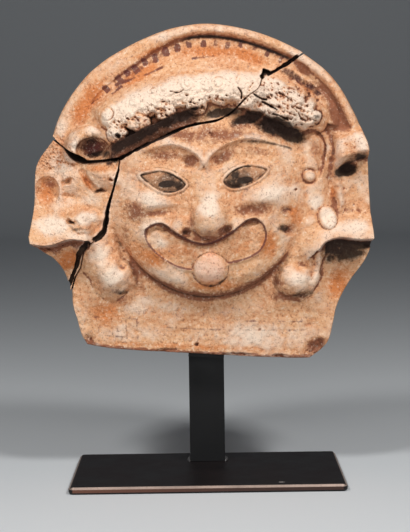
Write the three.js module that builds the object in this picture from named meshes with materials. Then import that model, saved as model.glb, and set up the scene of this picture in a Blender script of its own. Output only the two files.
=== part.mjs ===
// A terracotta antefix, the upright ornament that closed the end of a row of roof tiles.
// It is a mould-pressed plaque with a gorgon mask: a rolled rim, a painted hollow moulding, two rows
// of snail curls, a grinning face with its tongue out, ears, and locks that end in knobs.
// It is broken in three. The crown, the left side and the mask were set together again, with open
// joints between them, and they stand on a steel post with a small ledge and a flat foot plate.
//
// Lengths are millimetres. +Z is up, the mask looks along -Y, and the origin is the middle of the
// foot plate's underside.

import * as THREE from "three";

// The antefix
const ANTEFIX_HEIGHT = 238.5;
const PLAQUE_THICKNESS = 22;
const JOINT_GAP = 1.1;

// The stand
const PLATE_WIDTH = 193;
const PLATE_DEPTH = 110;
const PLATE_THICKNESS = 5;
const PLATE_CORNER = 2.5;
const PLATE_BEVEL = 1.4;
const POST_WIDTH = 25.8;
const POST_THICKNESS = 12.7;
const POST_FROM_PLATE_BACK = 19;
const FOOT_ABOVE_PLATE = 83.6;
const POST_BEHIND_PLAQUE = 125;
const LEDGE_DEPTH = 14;
const LEDGE_THICKNESS = 3;

// Neighbours that touch are drawn this far apart.
const CONTACT_GAP = 0.3;

// How closely the facets follow the carving and the outline, and the grid that they are picked from.
const CARVING_ERROR = 1.3;
const OUTLINE_ERROR = 0.25;
const GRID_STEPS = 128;
const SPLINE_STEPS = 6;

// Carving is laid out in hundredths of the antefix's height. x runs from the middle of the foot
// towards the viewer's right, z up from the lowest corner, and depth forward from the flat ground.
const UNIT = ANTEFIX_HEIGHT / 100;

// Outline of the plaque, in the pieces that the breaks leave. Each runs left to right or bottom to top.
const outline = {
  foot: [[-35.8, 4.5], [-27.5, 3.1], [-13.9, 2], [0, 1.1], [12, 0.2], [24, -0.4], [31.2, -0.5]],
  right: [
    [31.2, -0.5], [34.7, 1.8], [37, 5], [38.4, 10.4], [39.6, 15.6], [43.2, 22.4], [48.2, 29.4],
    [49.9, 35], [49.6, 44], [49, 54], [48.7, 62.4], [47.8, 66], [45.2, 72.6], [40.8, 80.6],
    [36.2, 86], [30.2, 90.6],
  ],
  crown: [
    [-44.8, 67.2], [-42.9, 72.6], [-39.6, 78.4], [-34.8, 84.4], [-30.2, 88.4], [-25.6, 91.4],
    [-18, 95.3], [-9, 98.5], [1, 99.8], [11, 98.5], [20, 95.8], [28.3, 91.9],
  ],
  crownTip: [[29.2, 91.4], [28.3, 91.9]],
  leftLow: [[-35.8, 4.5], [-37.4, 7.4], [-38.7, 12.4], [-39.8, 16.4], [-40, 20.9]],
  leftShelf: [[-40.4, 21], [-42.2, 26.6], [-45.2, 30.5], [-48.4, 32.8], [-50.9, 35], [-51.8, 37.8]],
  leftHigh: [[-51.8, 37.8], [-50.8, 44], [-50.4, 50], [-50.1, 56.2], [-48.8, 60.4], [-44.6, 66]],
};

// The breaks. The crown sits on one and the left piece beside the other, and they meet above the
// left brow, where clay is lost and the joint gapes.
const breaks = {
  underCrown: [
    [-24.6, 60.4], [-20, 62.8], [-12, 66.4], [-4, 69.7], [4, 71.2], [8.6, 73.6], [12.6, 77.6],
    [16.4, 80.4], [17.6, 83.6],
  ],
  crownEnd: [[17.6, 83.6], [20.4, 84.9], [25, 87.4], [30, 90.7]],
  besideLeft: [
    [-40.2, 20.9], [-39, 24.8], [-37.2, 28], [-36, 32.2], [-33.4, 35.4], [-30.2, 38.4],
    [-29.2, 42], [-28.4, 47], [-26.6, 52], [-25.4, 56], [-24.8, 59.6],
  ],
  crownLeftEnd: [[-34.4, 60], [-36.4, 61.4], [-39.6, 63], [-42.4, 64.8], [-44.8, 67.2]],
  crownLeftFoot: [[-34.4, 60], [-29.6, 60.2], [-24.6, 60.9]],
  leftTop: [[-44.6, 66], [-41.6, 63.4], [-38, 59.4], [-33.6, 58.5], [-29, 59], [-25.2, 59.2]],
};

// Curves that the carving follows.
const curves = {
  rim: [...outline.crown, [30.2, 90.6], [36.2, 86], [40.8, 80.6], [45.2, 72.6], [47.8, 66]],
  hair: [
    [-33, 65.6], [-27, 71.2], [-19, 75.4], [-9, 78.2], [2, 79.4], [12, 78.7], [21, 76.2],
    [29, 72.4], [34.5, 69],
  ],
  browLeft: [[-0.2, 58.8], [-1.8, 61.2], [-5, 63.9], [-10, 64.8], [-14.5, 64.2], [-19, 62.4]],
  browRight: [[0.6, 58.8], [2.4, 61.2], [6.6, 64.3], [12.6, 65.8], [18.6, 65.3], [25.4, 62.9]],
  eyeLeft: [
    [-18.6, 55], [-16, 56.4], [-12.4, 57], [-8.6, 56.2], [-5.2, 53.2], [-7.2, 51], [-11, 50.3],
    [-14.6, 51.6],
  ],
  eyeRight: [
    [5.5, 53.5], [7.6, 56.4], [11.4, 58.1], [15, 58.2], [18.4, 56.9], [16.2, 53.6], [12, 51.4],
    [8, 51.3],
  ],
  upperLip: [
    [-16.8, 40], [-13.2, 41], [-9.6, 39.1], [-5, 36.3], [0.2, 35.2], [5, 36.6], [9.6, 39.6],
    [13.8, 42.3],
  ],
  lowerLip: [
    [13.8, 42.3], [17, 40.6], [18, 37], [16.2, 33], [11.6, 30.5], [6, 29], [1.6, 28.4],
    [-4.4, 27.6], [-8.4, 28.6], [-13.4, 31.6], [-16.4, 35.4], [-17.2, 38.4], [-16.8, 40],
  ],
  earRight: [[29.4, 66.6], [32.2, 68.4], [35.8, 66.8], [36.8, 62.6], [36.4, 57.4], [34.4, 53.6]],
  earRightLobe: [[34.4, 53.6], [31.4, 52.4], [29, 54.2], [30, 57], [32.6, 56.8]],
  earLeftTop: [[-38, 63.8], [-36.4, 66.2], [-33, 67.5], [-28.6, 66.9]],
  besideLockRight: [[36.6, 57.4], [36.8, 51], [39.4, 45.6]],
  besideLobeLeft: [[-36.2, 57], [-34.4, 54.2], [-32, 51]],
  blockEdge: [[40.2, 58.8], [44.6, 60.6], [49.6, 61.6]],
  ledgeRight: [[34, 33], [36.6, 34.8], [41, 35.6], [46, 35.2], [51, 34]],
  ledgeLeft: [[-53, 36.4], [-48, 35.9], [-44.6, 36.2], [-40.4, 37.5], [-36.6, 37.1], [-33, 36]],
  tabRight: [[30.4, 38], [29, 31], [27, 23.4]],
  tabRightEdge: [[35.2, 35.2], [33.4, 31.6], [32.8, 27.4], [31.8, 23.8], [29.6, 21.4]],
  tabLeft: [[-33.4, 36], [-31, 30], [-27.6, 24.8]],
  tabLeftEdge: [[-25, 30.6], [-22.6, 28.6], [-22, 25.6]],
};

// Points along a smooth curve through the given ones.
function along(points) {
  const spline = new THREE.SplineCurve(points.map(([x, z]) => new THREE.Vector2(x, z)));
  return spline.getPoints(SPLINE_STEPS * (points.length - 1)).map((p) => [p.x, p.y]);
}

// A smooth closed curve, without its last point, which is its first.
function around(points) {
  return along([...points, points[0]]).slice(0, -1);
}

const lines = Object.fromEntries(Object.entries(curves).map(([name, points]) => [name, along(points)]));
const eyes = [around(curves.eyeLeft), around(curves.eyeRight)];
const mouth = [...lines.upperLip.slice(0, -1), ...lines.lowerLip.slice(0, -1)];

// The depth of a form where it isn't, well behind everything else.
const NOWHERE = -30;

const clamp = (t) => Math.min(1, Math.max(0, t));

// 0 below from, 1 above to, and a smooth step between them.
function step(from, to, value) {
  const t = clamp((value - from) / (to - from));
  return t * t * (3 - 2 * t);
}

// The higher of two surfaces, with a fillet of the given reach where they cross.
function higher(a, b, fillet) {
  const t = clamp(0.5 + (a - b) / (2 * fillet));
  return b + (a - b) * t + fillet * t * (1 - t);
}

// How far out a point is in an ellipse: 0 at its middle, 1 on its edge.
function reach(x, z, middle, radii, turn = 0) {
  const dx = x - middle[0];
  const dz = z - middle[1];
  const c = Math.cos(turn);
  const s = Math.sin(turn);
  return Math.hypot((dx * c + dz * s) / radii[0], (dz * c - dx * s) / radii[1]);
}

// Half an ellipsoid, which stands up steeply at its edge.
function dome(x, z, middle, radii, turn) {
  return Math.sqrt(Math.max(0, 1 - reach(x, z, middle, radii, turn) ** 2));
}

// A soft bulge that fades out at its edge.
function swell(x, z, middle, radii, turn) {
  return Math.max(0, 1 - reach(x, z, middle, radii, turn) ** 2) ** 2;
}

// Distance to a line of points, positive on its left as it runs, and how far along it that is, 0 to 1.
function beside(x, z, line, closed = false) {
  let best = Infinity;
  let side = 1;
  let share = 0;
  const spans = closed ? line.length : line.length - 1;
  for (let i = 0; i < spans; i += 1) {
    const [ax, az] = line[i];
    const [bx, bz] = line[(i + 1) % line.length];
    const ux = bx - ax;
    const uz = bz - az;
    const t = clamp(((x - ax) * ux + (z - az) * uz) / (ux * ux + uz * uz));
    const dx = x - ax - t * ux;
    const dz = z - az - t * uz;
    const d = Math.hypot(dx, dz);
    if (d < best - 1e-9) {
      best = d;
      side = ux * dz - uz * dx >= 0 ? 1 : -1;
      share = (i + t) / spans;
    }
  }
  return { away: best, side, share };
}

// A rounded ridge along a line.
function ridge(x, z, line, halfWidth, closed) {
  const { away } = beside(x, z, line, closed);
  return Math.max(0, 1 - (away / halfWidth) ** 2) ** 2;
}

// How far inside a closed line a point is, negative outside it.
function insideBy(x, z, line) {
  let inside = false;
  for (let i = 0, j = line.length - 1; i < line.length; j = i, i += 1) {
    const [ax, az] = line[i];
    const [bx, bz] = line[j];
    if (az > z !== bz > z && x < ((bx - ax) * (z - az)) / (bz - az) + ax) inside = !inside;
  }
  return beside(x, z, line, true).away * (inside ? 1 : -1);
}

// The flat ground, raised a little at the sides, and the rim with the hollow moulding inside it.
const rim = { width: 4.3, crest: 2.5, hollow: -1, rise: 5, until: 13, from: 60, to: 67 };

function groundDepth(x, z) {
  const sideField = 2 * step(22, 38, z) + 3 * step(40, 31, Math.abs(x)) * step(34, 42, z);
  const { away } = beside(x, z, lines.rim);
  const roll = rim.crest * Math.sqrt(Math.max(0, 1 - (2 * away / rim.width - 1) ** 2));
  const moulding = rim.hollow + rim.rise * clamp((away - rim.width) / (rim.until - rim.width)) ** 2;
  const crown = away < rim.width ? Math.max(roll, rim.hollow) : moulding;
  return sideField + (crown - sideField) * step(rim.from, rim.to, z);
}

// The roll of hair, steep over the brow and sloping back above, with two rows of snail curls.
const hair = { crest: 10.8, above: 8.4, below: 5.6, curlRadius: 3.7, curlHeight: 3.2 };
const curlRows = [
  { offset: 3.4, count: 8, from: 0.1, to: 0.86 },
  { offset: -2.2, count: 9, from: 0.07, to: 0.95 },
];

function curlMiddles({ offset, count, from, to }) {
  return Array.from({ length: count }, (_, i) => {
    const share = from + ((to - from) * i) / (count - 1);
    const at = share * (lines.hair.length - 1);
    const near = Math.min(Math.floor(at), lines.hair.length - 2);
    const [ax, az] = lines.hair[near];
    const [bx, bz] = lines.hair[near + 1];
    const length = Math.hypot(bx - ax, bz - az);
    const t = at - near;
    return [ax + t * (bx - ax) - (offset * (bz - az)) / length, az + t * (bz - az) + (offset * (bx - ax)) / length];
  });
}

const curls = curlRows.flatMap(curlMiddles);

function hairDepth(x, z) {
  const { away, side, share } = beside(x, z, lines.hair);
  const profile = side > 0 ? Math.max(0, 1 - (away / hair.above) ** 2) : Math.sqrt(Math.max(0, 1 - (away / hair.below) ** 2));
  if (profile === 0) return NOWHERE;
  const ends = step(0, 0.08, share) * step(1, 0.93, share);
  const curl = Math.max(...curls.map((middle) => dome(x, z, middle, [hair.curlRadius, hair.curlRadius])));
  return hair.crest * profile * (0.72 + 0.28 * ends) + hair.curlHeight * curl * profile;
}

// The face: a flattened dome with a full jaw that falls steeply to the plaque.
const face = { middle: [1.5, 46.5], halfWidth: 29.5, down: 27.4, up: 41, depth: 10, power: 1.85 };

function faceDepth(x, z) {
  const dx = Math.abs(x - face.middle[0]) / face.halfWidth;
  const dz = z - face.middle[1];
  const dy = Math.abs(dz) / (dz > 0 ? face.up : face.down);
  const out = (dx ** face.power + dy ** face.power) ** (1 / face.power);
  const shell = face.depth * Math.sqrt(Math.max(0, 1 - out ** 4));
  return shell + shell / face.depth * featureDepth(x, z);
}

const nose = { root: 59, end: 43, slim: 3, wide: 6.4, low: 1, high: 6.2, tip: [2.1, 43], tipRadii: [5.6, 5] };

function noseDepth(x, z) {
  const down = step(nose.root, nose.end, z);
  const middle = 0.4 + (nose.tip[0] - 0.4) * down;
  const width = nose.slim + (nose.wide - nose.slim) * down;
  const onRidge = step(nose.root + 3, nose.root - 2, z) * step(nose.end - 5, nose.end - 1, z);
  const back = (nose.low + (nose.high - nose.low) * down) * Math.max(0, 1 - ((x - middle) / width) ** 2) * onRidge;
  const tip = 7.8 * dome(x, z, nose.tip, nose.tipRadii);
  const wings = Math.max(4.4 * dome(x, z, [-5.2, 42.2], [4, 3.4]), 4.2 * dome(x, z, [8.2, 42.8], [3.8, 3.2]));
  return higher(higher(back, tip, 0.8), wings, 0.5);
}

// What is carved on the dome of the face.
function featureDepth(x, z) {
  let depth = noseDepth(x, z);
  depth += 1.8 * (swell(x, z, [-15.5, 49], [10, 6.6]) + swell(x, z, [16.5, 50], [10, 6.6]));
  depth -= 1.6 * (swell(x, z, [-10.6, 58], [10, 5.6]) + swell(x, z, [12, 59.4], [10.5, 5.8]));
  depth -= 1.8 * (swell(x, z, [-3.6, 58.8], [3.6, 3.2]) + swell(x, z, [3.8, 59.4], [3.2, 3]));
  depth += 1.6 * Math.max(ridge(x, z, lines.browLeft, 1.8), ridge(x, z, lines.browRight, 1.8));
  depth += 1.3 * (swell(x, z, [-11.8, 53.7], [6, 3.4], -0.13) + swell(x, z, [12, 54.8], [6, 3.5], 0.24));
  depth += 1.2 * Math.max(...eyes.map((eye) => ridge(x, z, eye, 1.5, true)));
  depth -= 1.3 * (swell(x, z, [-15, 44.8], [8, 2.2]) + swell(x, z, [17, 45.4], [9, 2.2]));
  depth += mouthDepth(x, z);
  return depth;
}

// The open mouth, sunk under the upper lip and flush at the lower one, and the tongue over the chin.
function mouthDepth(x, z) {
  const inside = insideBy(x, z, mouth);
  const underLip = step(5, 0.6, beside(x, z, lines.upperLip).away);
  const sunk = step(-0.4, 1, inside) * (0.7 + 1.7 * underLip);
  const lip = 1.3 * ridge(x, z, lines.upperLip, 2.4) + 0.9 * ridge(x, z, lines.lowerLip, 1.6);
  const tongue = 2.8 * Math.sqrt(Math.max(0, 1 - reach(x, z, [1.6, 27.9], [5.7, 5.4]) ** 4));
  return Math.max(lip - sunk, tongue - 0.6) + 0.7 * swell(x, z, [3, 22.6], [8, 3.6]);
}

// A shelf that leans out to a broken edge and drops back under it.
function shelf(x, z, edge, height, slope, drop) {
  const { away, side } = beside(x, z, edge);
  return side > 0 ? height * Math.max(0, 1 - away / slope) : height * Math.max(0, 1 - away / drop);
}

// Ears, pellets, the locks that end in knobs, and the stumps where the outer locks broke off.
function sideDepth(x, z, ground) {
  let depth = ground;
  depth += 1.4 * Math.max(ridge(x, z, lines.earRight, 1.5), ridge(x, z, lines.earRightLobe, 1.2));
  depth -= 1.3 * swell(x, z, [32.2, 62.6], [4.4, 6]);
  depth += 1.2 * dome(x, z, [31.3, 55], [1.8, 1.8]);
  depth -= 1.6 * Math.max(ridge(x, z, lines.besideLockRight, 1.5), ridge(x, z, lines.besideLobeLeft, 1.3));
  depth += 2.6 * dome(x, z, [36.6, 42.8], [2.8, 3.8], 0.15);
  depth += 3.2 * dome(x, z, [-36, 44], [5.2, 4.3], 0.1);
  depth += 2.6 * dome(x, z, [-30.4, 55.2], [4.8, 3.9], -0.4);
  depth -= 2 * swell(x, z, [-46.8, 50.6], [4.6, 6.4]);
  depth = higher(depth, shelf(x, z, lines.ledgeRight, 9, 10, 1.6), 0.8);
  depth = higher(depth, shelf(x, z, lines.ledgeLeft, 10.5, 15, 2.2), 0.8);
  depth = higher(depth, shelf(x, z, lines.blockEdge, 7.5, 8.5, 2.4), 0.6);
  depth -= 2.5 * swell(x, z, [44, 56.4], [4.6, 2.6], 0.35);
  depth -= 1.2 * swell(x, z, [41, 30.4], [6.6, 3.8]);
  return depth;
}

function lockDepth(x, z) {
  const tabs = Math.max(
    6.4 * Math.sqrt(Math.max(0, 1 - (beside(x, z, lines.tabRight).away / 6.2) ** 4)),
    6.2 * Math.sqrt(Math.max(0, 1 - (beside(x, z, lines.tabLeft).away / 5.8) ** 4)),
  );
  const knobs = 2.6 * (swell(x, z, [27, 22.8], [5, 4.6]) + swell(x, z, [-27, 24.4], [5, 4.8]));
  const edges = 1.1 * (ridge(x, z, lines.tabRightEdge, 1.4) + ridge(x, z, lines.tabLeftEdge, 1.4));
  return tabs > 0 ? tabs + knobs + edges - 1.6 * swell(x, z, [-24, 27], [1.6, 2]) : NOWHERE;
}

// Depth of the carving in front of the plaque's flat ground, in hundredths of the height.
function carving(x, z) {
  const ground = sideDepth(x, z, groundDepth(x, z));
  let depth = higher(ground, faceDepth(x, z), 1.2);
  depth = higher(depth, lockDepth(x, z), 0.9);
  depth = higher(depth, hairDepth(x, z), 0.5);
  depth += 1.1 * ridge(x, z, lines.earLeftTop, 1.5);
  return depth - 5.5 * swell(x, z, [-32, 63.2], [5, 4]) ** 0.5;
}

// A line moved sideways by a distance, to its left if that is positive.
function shifted(line, distance) {
  return line.map(([x, z], i) => {
    const [ax, az] = line[Math.max(i - 1, 0)];
    const [bx, bz] = line[Math.min(i + 1, line.length - 1)];
    const length = Math.hypot(bx - ax, bz - az);
    return [x - (distance * (bz - az)) / length, z + (distance * (bx - ax)) / length];
  });
}

// A function from 0 to 1 that runs along a line at an even pace.
function paced(line) {
  const lengths = [0];
  for (let i = 1; i < line.length; i += 1)
    lengths.push(lengths[i - 1] + Math.hypot(line[i][0] - line[i - 1][0], line[i][1] - line[i - 1][1]));
  const total = lengths[lengths.length - 1];
  return (share) => {
    const target = share * total;
    let i = 1;
    while (i < line.length - 1 && lengths[i] < target) i += 1;
    const t = clamp((target - lengths[i - 1]) / (lengths[i] - lengths[i - 1]));
    return [0, 1].map((k) => line[i - 1][k] + t * (line[i][k] - line[i - 1][k]));
  };
}

// A patch stretched between four edges. bottom and top run left to right, left and right run upwards.
// It blends each pair of facing edges and takes off the blend of the corners, which both pairs share.
function patch({ bottom, top, left, right }) {
  const [b, t, l, r] = [bottom, top, left, right].map(paced);
  const corners = [b(0), b(1), t(0), t(1)];
  return (u, v) =>
    [0, 1].map(
      (k) =>
        (1 - v) * b(u)[k] + v * t(u)[k] + (1 - u) * l(v)[k] + u * r(v)[k] -
        ((1 - u) * (1 - v) * corners[0][k] + u * (1 - v) * corners[1][k] +
          (1 - u) * v * corners[2][k] + u * v * corners[3][k]),
    );
}

// Picks facets from a square grid by halving right triangles until each comes close enough to the
// grid's points. Returns triangles of grid indices.
function pickFacets(points, steps) {
  const size = steps + 1;
  const miss = new Float64Array(size * size);
  const triangles = 2 * steps * steps - 2;
  const cornersOf = (index) => {
    let id = index + 2;
    let [a, b, c] = id & 1 ? [[0, 0], [steps, steps], [steps, 0]] : [[steps, steps], [0, 0], [0, steps]];
    while ((id >>= 1) > 1) {
      const middle = [(a[0] + b[0]) >> 1, (a[1] + b[1]) >> 1];
      [a, b, c] = id & 1 ? [c, a, middle] : [b, c, middle];
    }
    return [a, b, c];
  };
  const at = ([i, j]) => j * size + i;
  const between = (p, q) => [(p[0] + q[0]) >> 1, (p[1] + q[1]) >> 1];
  for (let index = triangles - 1; index >= 0; index -= 1) {
    const [a, b, c] = cornersOf(index);
    const middle = at(between(a, b));
    const [pa, pb, pm] = [points[at(a)], points[at(b)], points[middle]];
    const off = [0, 1, 2].map((k) => (pa[k] + pb[k]) / 2 - pm[k]);
    const onBorder = [0, 1].some((k) => a[k] === b[k] && a[k] % steps === 0);
    const own = Math.max(Math.abs(off[1]) / CARVING_ERROR, onBorder ? Math.hypot(...off) / OUTLINE_ERROR : 0);
    miss[middle] = Math.max(miss[middle], own);
    if (index < triangles - steps * steps)
      miss[middle] = Math.max(miss[middle], miss[at(between(a, c))], miss[at(between(b, c))]);
  }
  const facets = [];
  const halve = (a, b, c) => {
    const middle = between(a, b);
    if (Math.abs(a[0] - c[0]) + Math.abs(a[1] - c[1]) > 1 && miss[at(middle)] > 1) {
      halve(c, a, middle);
      halve(b, c, middle);
    } else facets.push([at(a), at(b), at(c)]);
  };
  halve([0, 0], [steps, steps], [steps, 0]);
  halve([steps, steps], [0, 0], [0, steps]);
  return facets;
}

// The used points on the grid's border, anticlockwise from its first corner.
function borderOf(facets, steps) {
  const size = steps + 1;
  const used = new Set(facets.flat());
  const walk = [];
  for (let i = 0; i < steps; i += 1) walk.push(i);
  for (let j = 0; j < steps; j += 1) walk.push(j * size + steps);
  for (let i = steps; i > 0; i -= 1) walk.push(steps * size + i);
  for (let j = steps; j > 0; j -= 1) walk.push(j * size);
  return walk.filter((index) => used.has(index));
}

// One fragment: the carved front, a flat back, and broken or moulded edges square to them.
function fragment(edges) {
  const place = patch(edges);
  const points = [];
  for (let j = 0; j <= GRID_STEPS; j += 1)
    for (let i = 0; i <= GRID_STEPS; i += 1) {
      const [x, z] = place(i / GRID_STEPS, j / GRID_STEPS);
      points.push([x * UNIT, -PLAQUE_THICKNESS - carving(x, z) * UNIT, z * UNIT]);
    }
  const facets = pickFacets(points, GRID_STEPS);
  const border = borderOf(facets, GRID_STEPS);
  const backPoint = (index) => [points[index][0], 0, points[index][2]];
  const corners = facets.flatMap(([a, b, c]) => [points[a], points[c], points[b]]);
  border.forEach((a, i) => {
    const b = border[(i + 1) % border.length];
    corners.push(points[a], backPoint(a), backPoint(b), points[a], backPoint(b), points[b]);
  });
  const contour = border.map((index) => new THREE.Vector2(points[index][0], points[index][2]));
  for (const [a, b, c] of THREE.ShapeUtils.triangulateShape(contour, []))
    corners.push(backPoint(border[a]), backPoint(border[c]), backPoint(border[b]));
  return new THREE.BufferGeometry().setAttribute(
    "position",
    new THREE.Float32BufferAttribute(corners.flat(), 3),
  );
}

const halfGap = JOINT_GAP / UNIT / 2;
const underCrown = along(breaks.underCrown);
const crownEnd = along(breaks.crownEnd);
const besideLeft = along(breaks.besideLeft);

// Joins lines end to end, replacing the meeting ends by the second line's first point.
const joined = (...parts) => parts.reduce((all, part) => [...all.slice(0, -1), ...part]);

function maskFragment() {
  const top = joined(shifted(underCrown, -halfGap), shifted(crownEnd, -halfGap));
  const left = joined(along(outline.leftLow), shifted(besideLeft, -halfGap));
  const bottom = along(outline.foot);
  const right = along(outline.right);
  left[left.length - 1] = top[0];
  right[right.length - 1] = top[top.length - 1];
  return fragment({ bottom, top, left, right });
}

function crownFragment() {
  const left = along(breaks.crownLeftEnd);
  const bottom = joined(along(breaks.crownLeftFoot), shifted(underCrown, halfGap), shifted(crownEnd, halfGap));
  const right = along([bottom[bottom.length - 1], ...outline.crownTip]);
  const top = along(outline.crown);
  return fragment({ bottom, top, left, right });
}

function leftFragment() {
  const right = shifted(besideLeft, halfGap);
  const top = along(breaks.leftTop);
  const bottom = along(outline.leftShelf).reverse();
  const left = along(outline.leftHigh);
  top[top.length - 1] = right[right.length - 1];
  bottom[bottom.length - 1] = right[0];
  return fragment({ bottom, top, left, right });
}

// Stand pieces
const steel = new THREE.MeshStandardMaterial({ color: 0x1c1a1b, roughness: 0.5, metalness: 0.7 });
const clay = new THREE.MeshStandardMaterial({ color: 0xd39f73, roughness: 0.9, metalness: 0 });

function plateGeometry() {
  const w = PLATE_WIDTH / 2 - PLATE_BEVEL;
  const d = PLATE_DEPTH / 2 - PLATE_BEVEL;
  const r = PLATE_CORNER;
  const shape = new THREE.Shape();
  shape.absarc(w - r, d - r, r, 0, Math.PI / 2);
  shape.absarc(r - w, d - r, r, Math.PI / 2, Math.PI);
  shape.absarc(r - w, r - d, r, Math.PI, 1.5 * Math.PI);
  shape.absarc(w - r, r - d, r, 1.5 * Math.PI, 2 * Math.PI);
  const geometry = new THREE.ExtrudeGeometry(shape, {
    depth: PLATE_THICKNESS - 2 * PLATE_BEVEL,
    bevelThickness: PLATE_BEVEL,
    bevelSize: PLATE_BEVEL,
    bevelSegments: 1,
    curveSegments: 4,
  });
  return geometry.translate(0, 0, PLATE_BEVEL);
}

function piece(name, geometry, material) {
  const mesh = new THREE.Mesh(geometry, material);
  mesh.name = name;
  return mesh;
}

const postFront = PLATE_DEPTH / 2 - POST_FROM_PLATE_BACK - POST_THICKNESS;
const footHeight = PLATE_THICKNESS + FOOT_ABOVE_PLATE;

// The foot isn't level, so the ledge leans with it. Its slope is taken across the post's width.
const footLine = along(outline.foot);
const footAt = (x) => footLine.find((point) => point[0] >= x);
const [footLeft, footMiddle, footRight] = [-1, 0, 1].map((side) => footAt((side * POST_WIDTH) / 2 / UNIT));
const footSlope = Math.atan2(footRight[1] - footLeft[1], footRight[0] - footLeft[0]);

const antefix = new THREE.Group();
antefix.add(
  piece("mask_fragment", maskFragment(), clay),
  piece("crown_fragment", crownFragment(), clay),
  piece("left_fragment", leftFragment(), clay),
);
antefix.position.set(0, postFront - CONTACT_GAP, footHeight - footMiddle[1] * UNIT);

const postBottom = PLATE_THICKNESS + CONTACT_GAP;
const postTop = footHeight + POST_BEHIND_PLAQUE;
const post = piece("stand_post", new THREE.BoxGeometry(POST_WIDTH, POST_THICKNESS, postTop - postBottom), steel);
post.position.set(0, postFront + POST_THICKNESS / 2, (postTop + postBottom) / 2);

const ledge = piece("stand_ledge", new THREE.BoxGeometry(POST_WIDTH, LEDGE_DEPTH, LEDGE_THICKNESS), steel);
ledge.rotation.y = -footSlope;
ledge.position.set(0, postFront - CONTACT_GAP - LEDGE_DEPTH / 2, footHeight - 2 * CONTACT_GAP - LEDGE_THICKNESS / 2);

const plate = piece("stand_foot_plate", plateGeometry(), steel);

const part = new THREE.Group();
part.add(antefix, post, ledge, plate);

export default part;
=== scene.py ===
# %% [markdown]
# # A broken terracotta antefix on its stand
#
# An antefix closed the end of a row of roof tiles. This one was pressed from a mould as a plaque
# with a gorgon's mask on it, then covered with thin cream slip and painted. It broke in three long
# ago. The pieces are set together again, with the breaks left open, and they stand on a steel post
# with a flat foot plate.
#
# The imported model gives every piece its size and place. Here the three clay pieces are made again
# as fine surfaces, and every surface gets its finish.

import math

import bpy
import numpy as np
from mathutils import Matrix, Vector


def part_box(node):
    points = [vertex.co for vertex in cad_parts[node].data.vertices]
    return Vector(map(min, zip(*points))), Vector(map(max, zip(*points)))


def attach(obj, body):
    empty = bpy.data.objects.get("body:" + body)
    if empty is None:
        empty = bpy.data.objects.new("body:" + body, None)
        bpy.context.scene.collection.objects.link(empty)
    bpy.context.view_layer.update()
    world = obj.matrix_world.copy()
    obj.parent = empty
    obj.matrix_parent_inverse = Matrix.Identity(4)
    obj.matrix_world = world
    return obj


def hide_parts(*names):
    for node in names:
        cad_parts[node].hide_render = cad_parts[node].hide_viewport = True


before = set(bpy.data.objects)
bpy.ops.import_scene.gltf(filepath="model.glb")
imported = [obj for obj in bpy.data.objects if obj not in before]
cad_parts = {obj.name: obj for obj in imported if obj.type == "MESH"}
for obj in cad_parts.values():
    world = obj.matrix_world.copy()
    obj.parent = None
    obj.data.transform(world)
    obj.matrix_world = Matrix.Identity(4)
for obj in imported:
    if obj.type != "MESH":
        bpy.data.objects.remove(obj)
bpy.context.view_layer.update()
print("pieces in the frame:", sorted(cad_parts))

# %% [markdown]
# ## One measure for all the carving
#
# The antefix's forms keep to its own height, as the sculptor's did. So everything on it is laid out
# in hundredths of that height: x from the middle of the post to the viewer's right, z up from the
# foot, and depth forward from the flat ground of the plaque. The frame gives the length of one such
# unit and the place of the back.

# %% Units from the frame
LOWEST, HIGHEST = -0.502, 99.771        # where the outline ends, in hundredths of the height
PLAQUE_THICKNESS = 0.022

mask_low, mask_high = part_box("mask_fragment")
crown_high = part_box("crown_fragment")[1]
post_low, post_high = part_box("stand_post")
plate_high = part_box("stand_foot_plate")[1]
UNIT = (crown_high.z - mask_low.z) / (HIGHEST - LOWEST)
BACK_Y = mask_high.y
GROUND_Y = BACK_Y - PLAQUE_THICKNESS
ZERO_Z = mask_low.z - LOWEST * UNIT
print(f"one unit is {1000 * UNIT:.3f} mm, the ground lies at y = {1000 * GROUND_Y:.1f} mm")

# %% [markdown]
# ## Small tools for worn forms
#
# Clay that was pressed, broken and weathered has no straight line and no perfect curve. Lines are
# smooth curves through a few chosen points. Forms are functions of the distance to such a line or to
# a point. Noise on a lattice roughens them: it is smooth at its own scale, and several scales added
# up look like weathered clay.

# %% Curves
SPLINE_STEPS = 8


def along(points, steps=SPLINE_STEPS):
    """A smooth line through points: on each span, a cubic whose slope at a point is half the step
    between its neighbours."""
    p = np.asarray(points, float)
    spans = len(p) - 1
    t = np.linspace(0, spans, steps * spans + 1)
    i = np.minimum(t.astype(int), spans - 1)
    f = (t - i)[:, None]
    p0, p1, p2 = p[np.maximum(i - 1, 0)], p[i], p[i + 1]
    p3 = p[np.minimum(i + 2, spans)]
    v0, v1 = (p2 - p0) / 2, (p3 - p1) / 2
    return (2 * p1 - 2 * p2 + v0 + v1) * f**3 + (-3 * p1 + 3 * p2 - 2 * v0 - v1) * f**2 + v0 * f + p1


def around(points, steps=SPLINE_STEPS):
    """A closed smooth line through points, without its last point, which is its first."""
    wrapped = [points[-1], *points, points[0], points[1]]
    return along(wrapped, steps)[steps:-steps - 1]


def shifted(line, distance):
    """The line moved sideways by a distance, to its left as it runs."""
    run = np.gradient(line, axis=0)
    run /= np.hypot(run[:, 0], run[:, 1])[:, None]
    return line + distance * np.stack([-run[:, 1], run[:, 0]], axis=1)


def paced(line, shares):
    """Points at the given shares of a line's length."""
    run = np.concatenate([[0], np.cumsum(np.hypot(*np.diff(line, axis=0).T))])
    return np.stack([np.interp(shares * run[-1], run, line[:, k]) for k in (0, 1)], axis=1)


print("a smooth line through 3 points has", len(along([(0, 0), (1, 1), (2, 0)])), "points")

# %% Distances
FAR = 1e3


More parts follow.
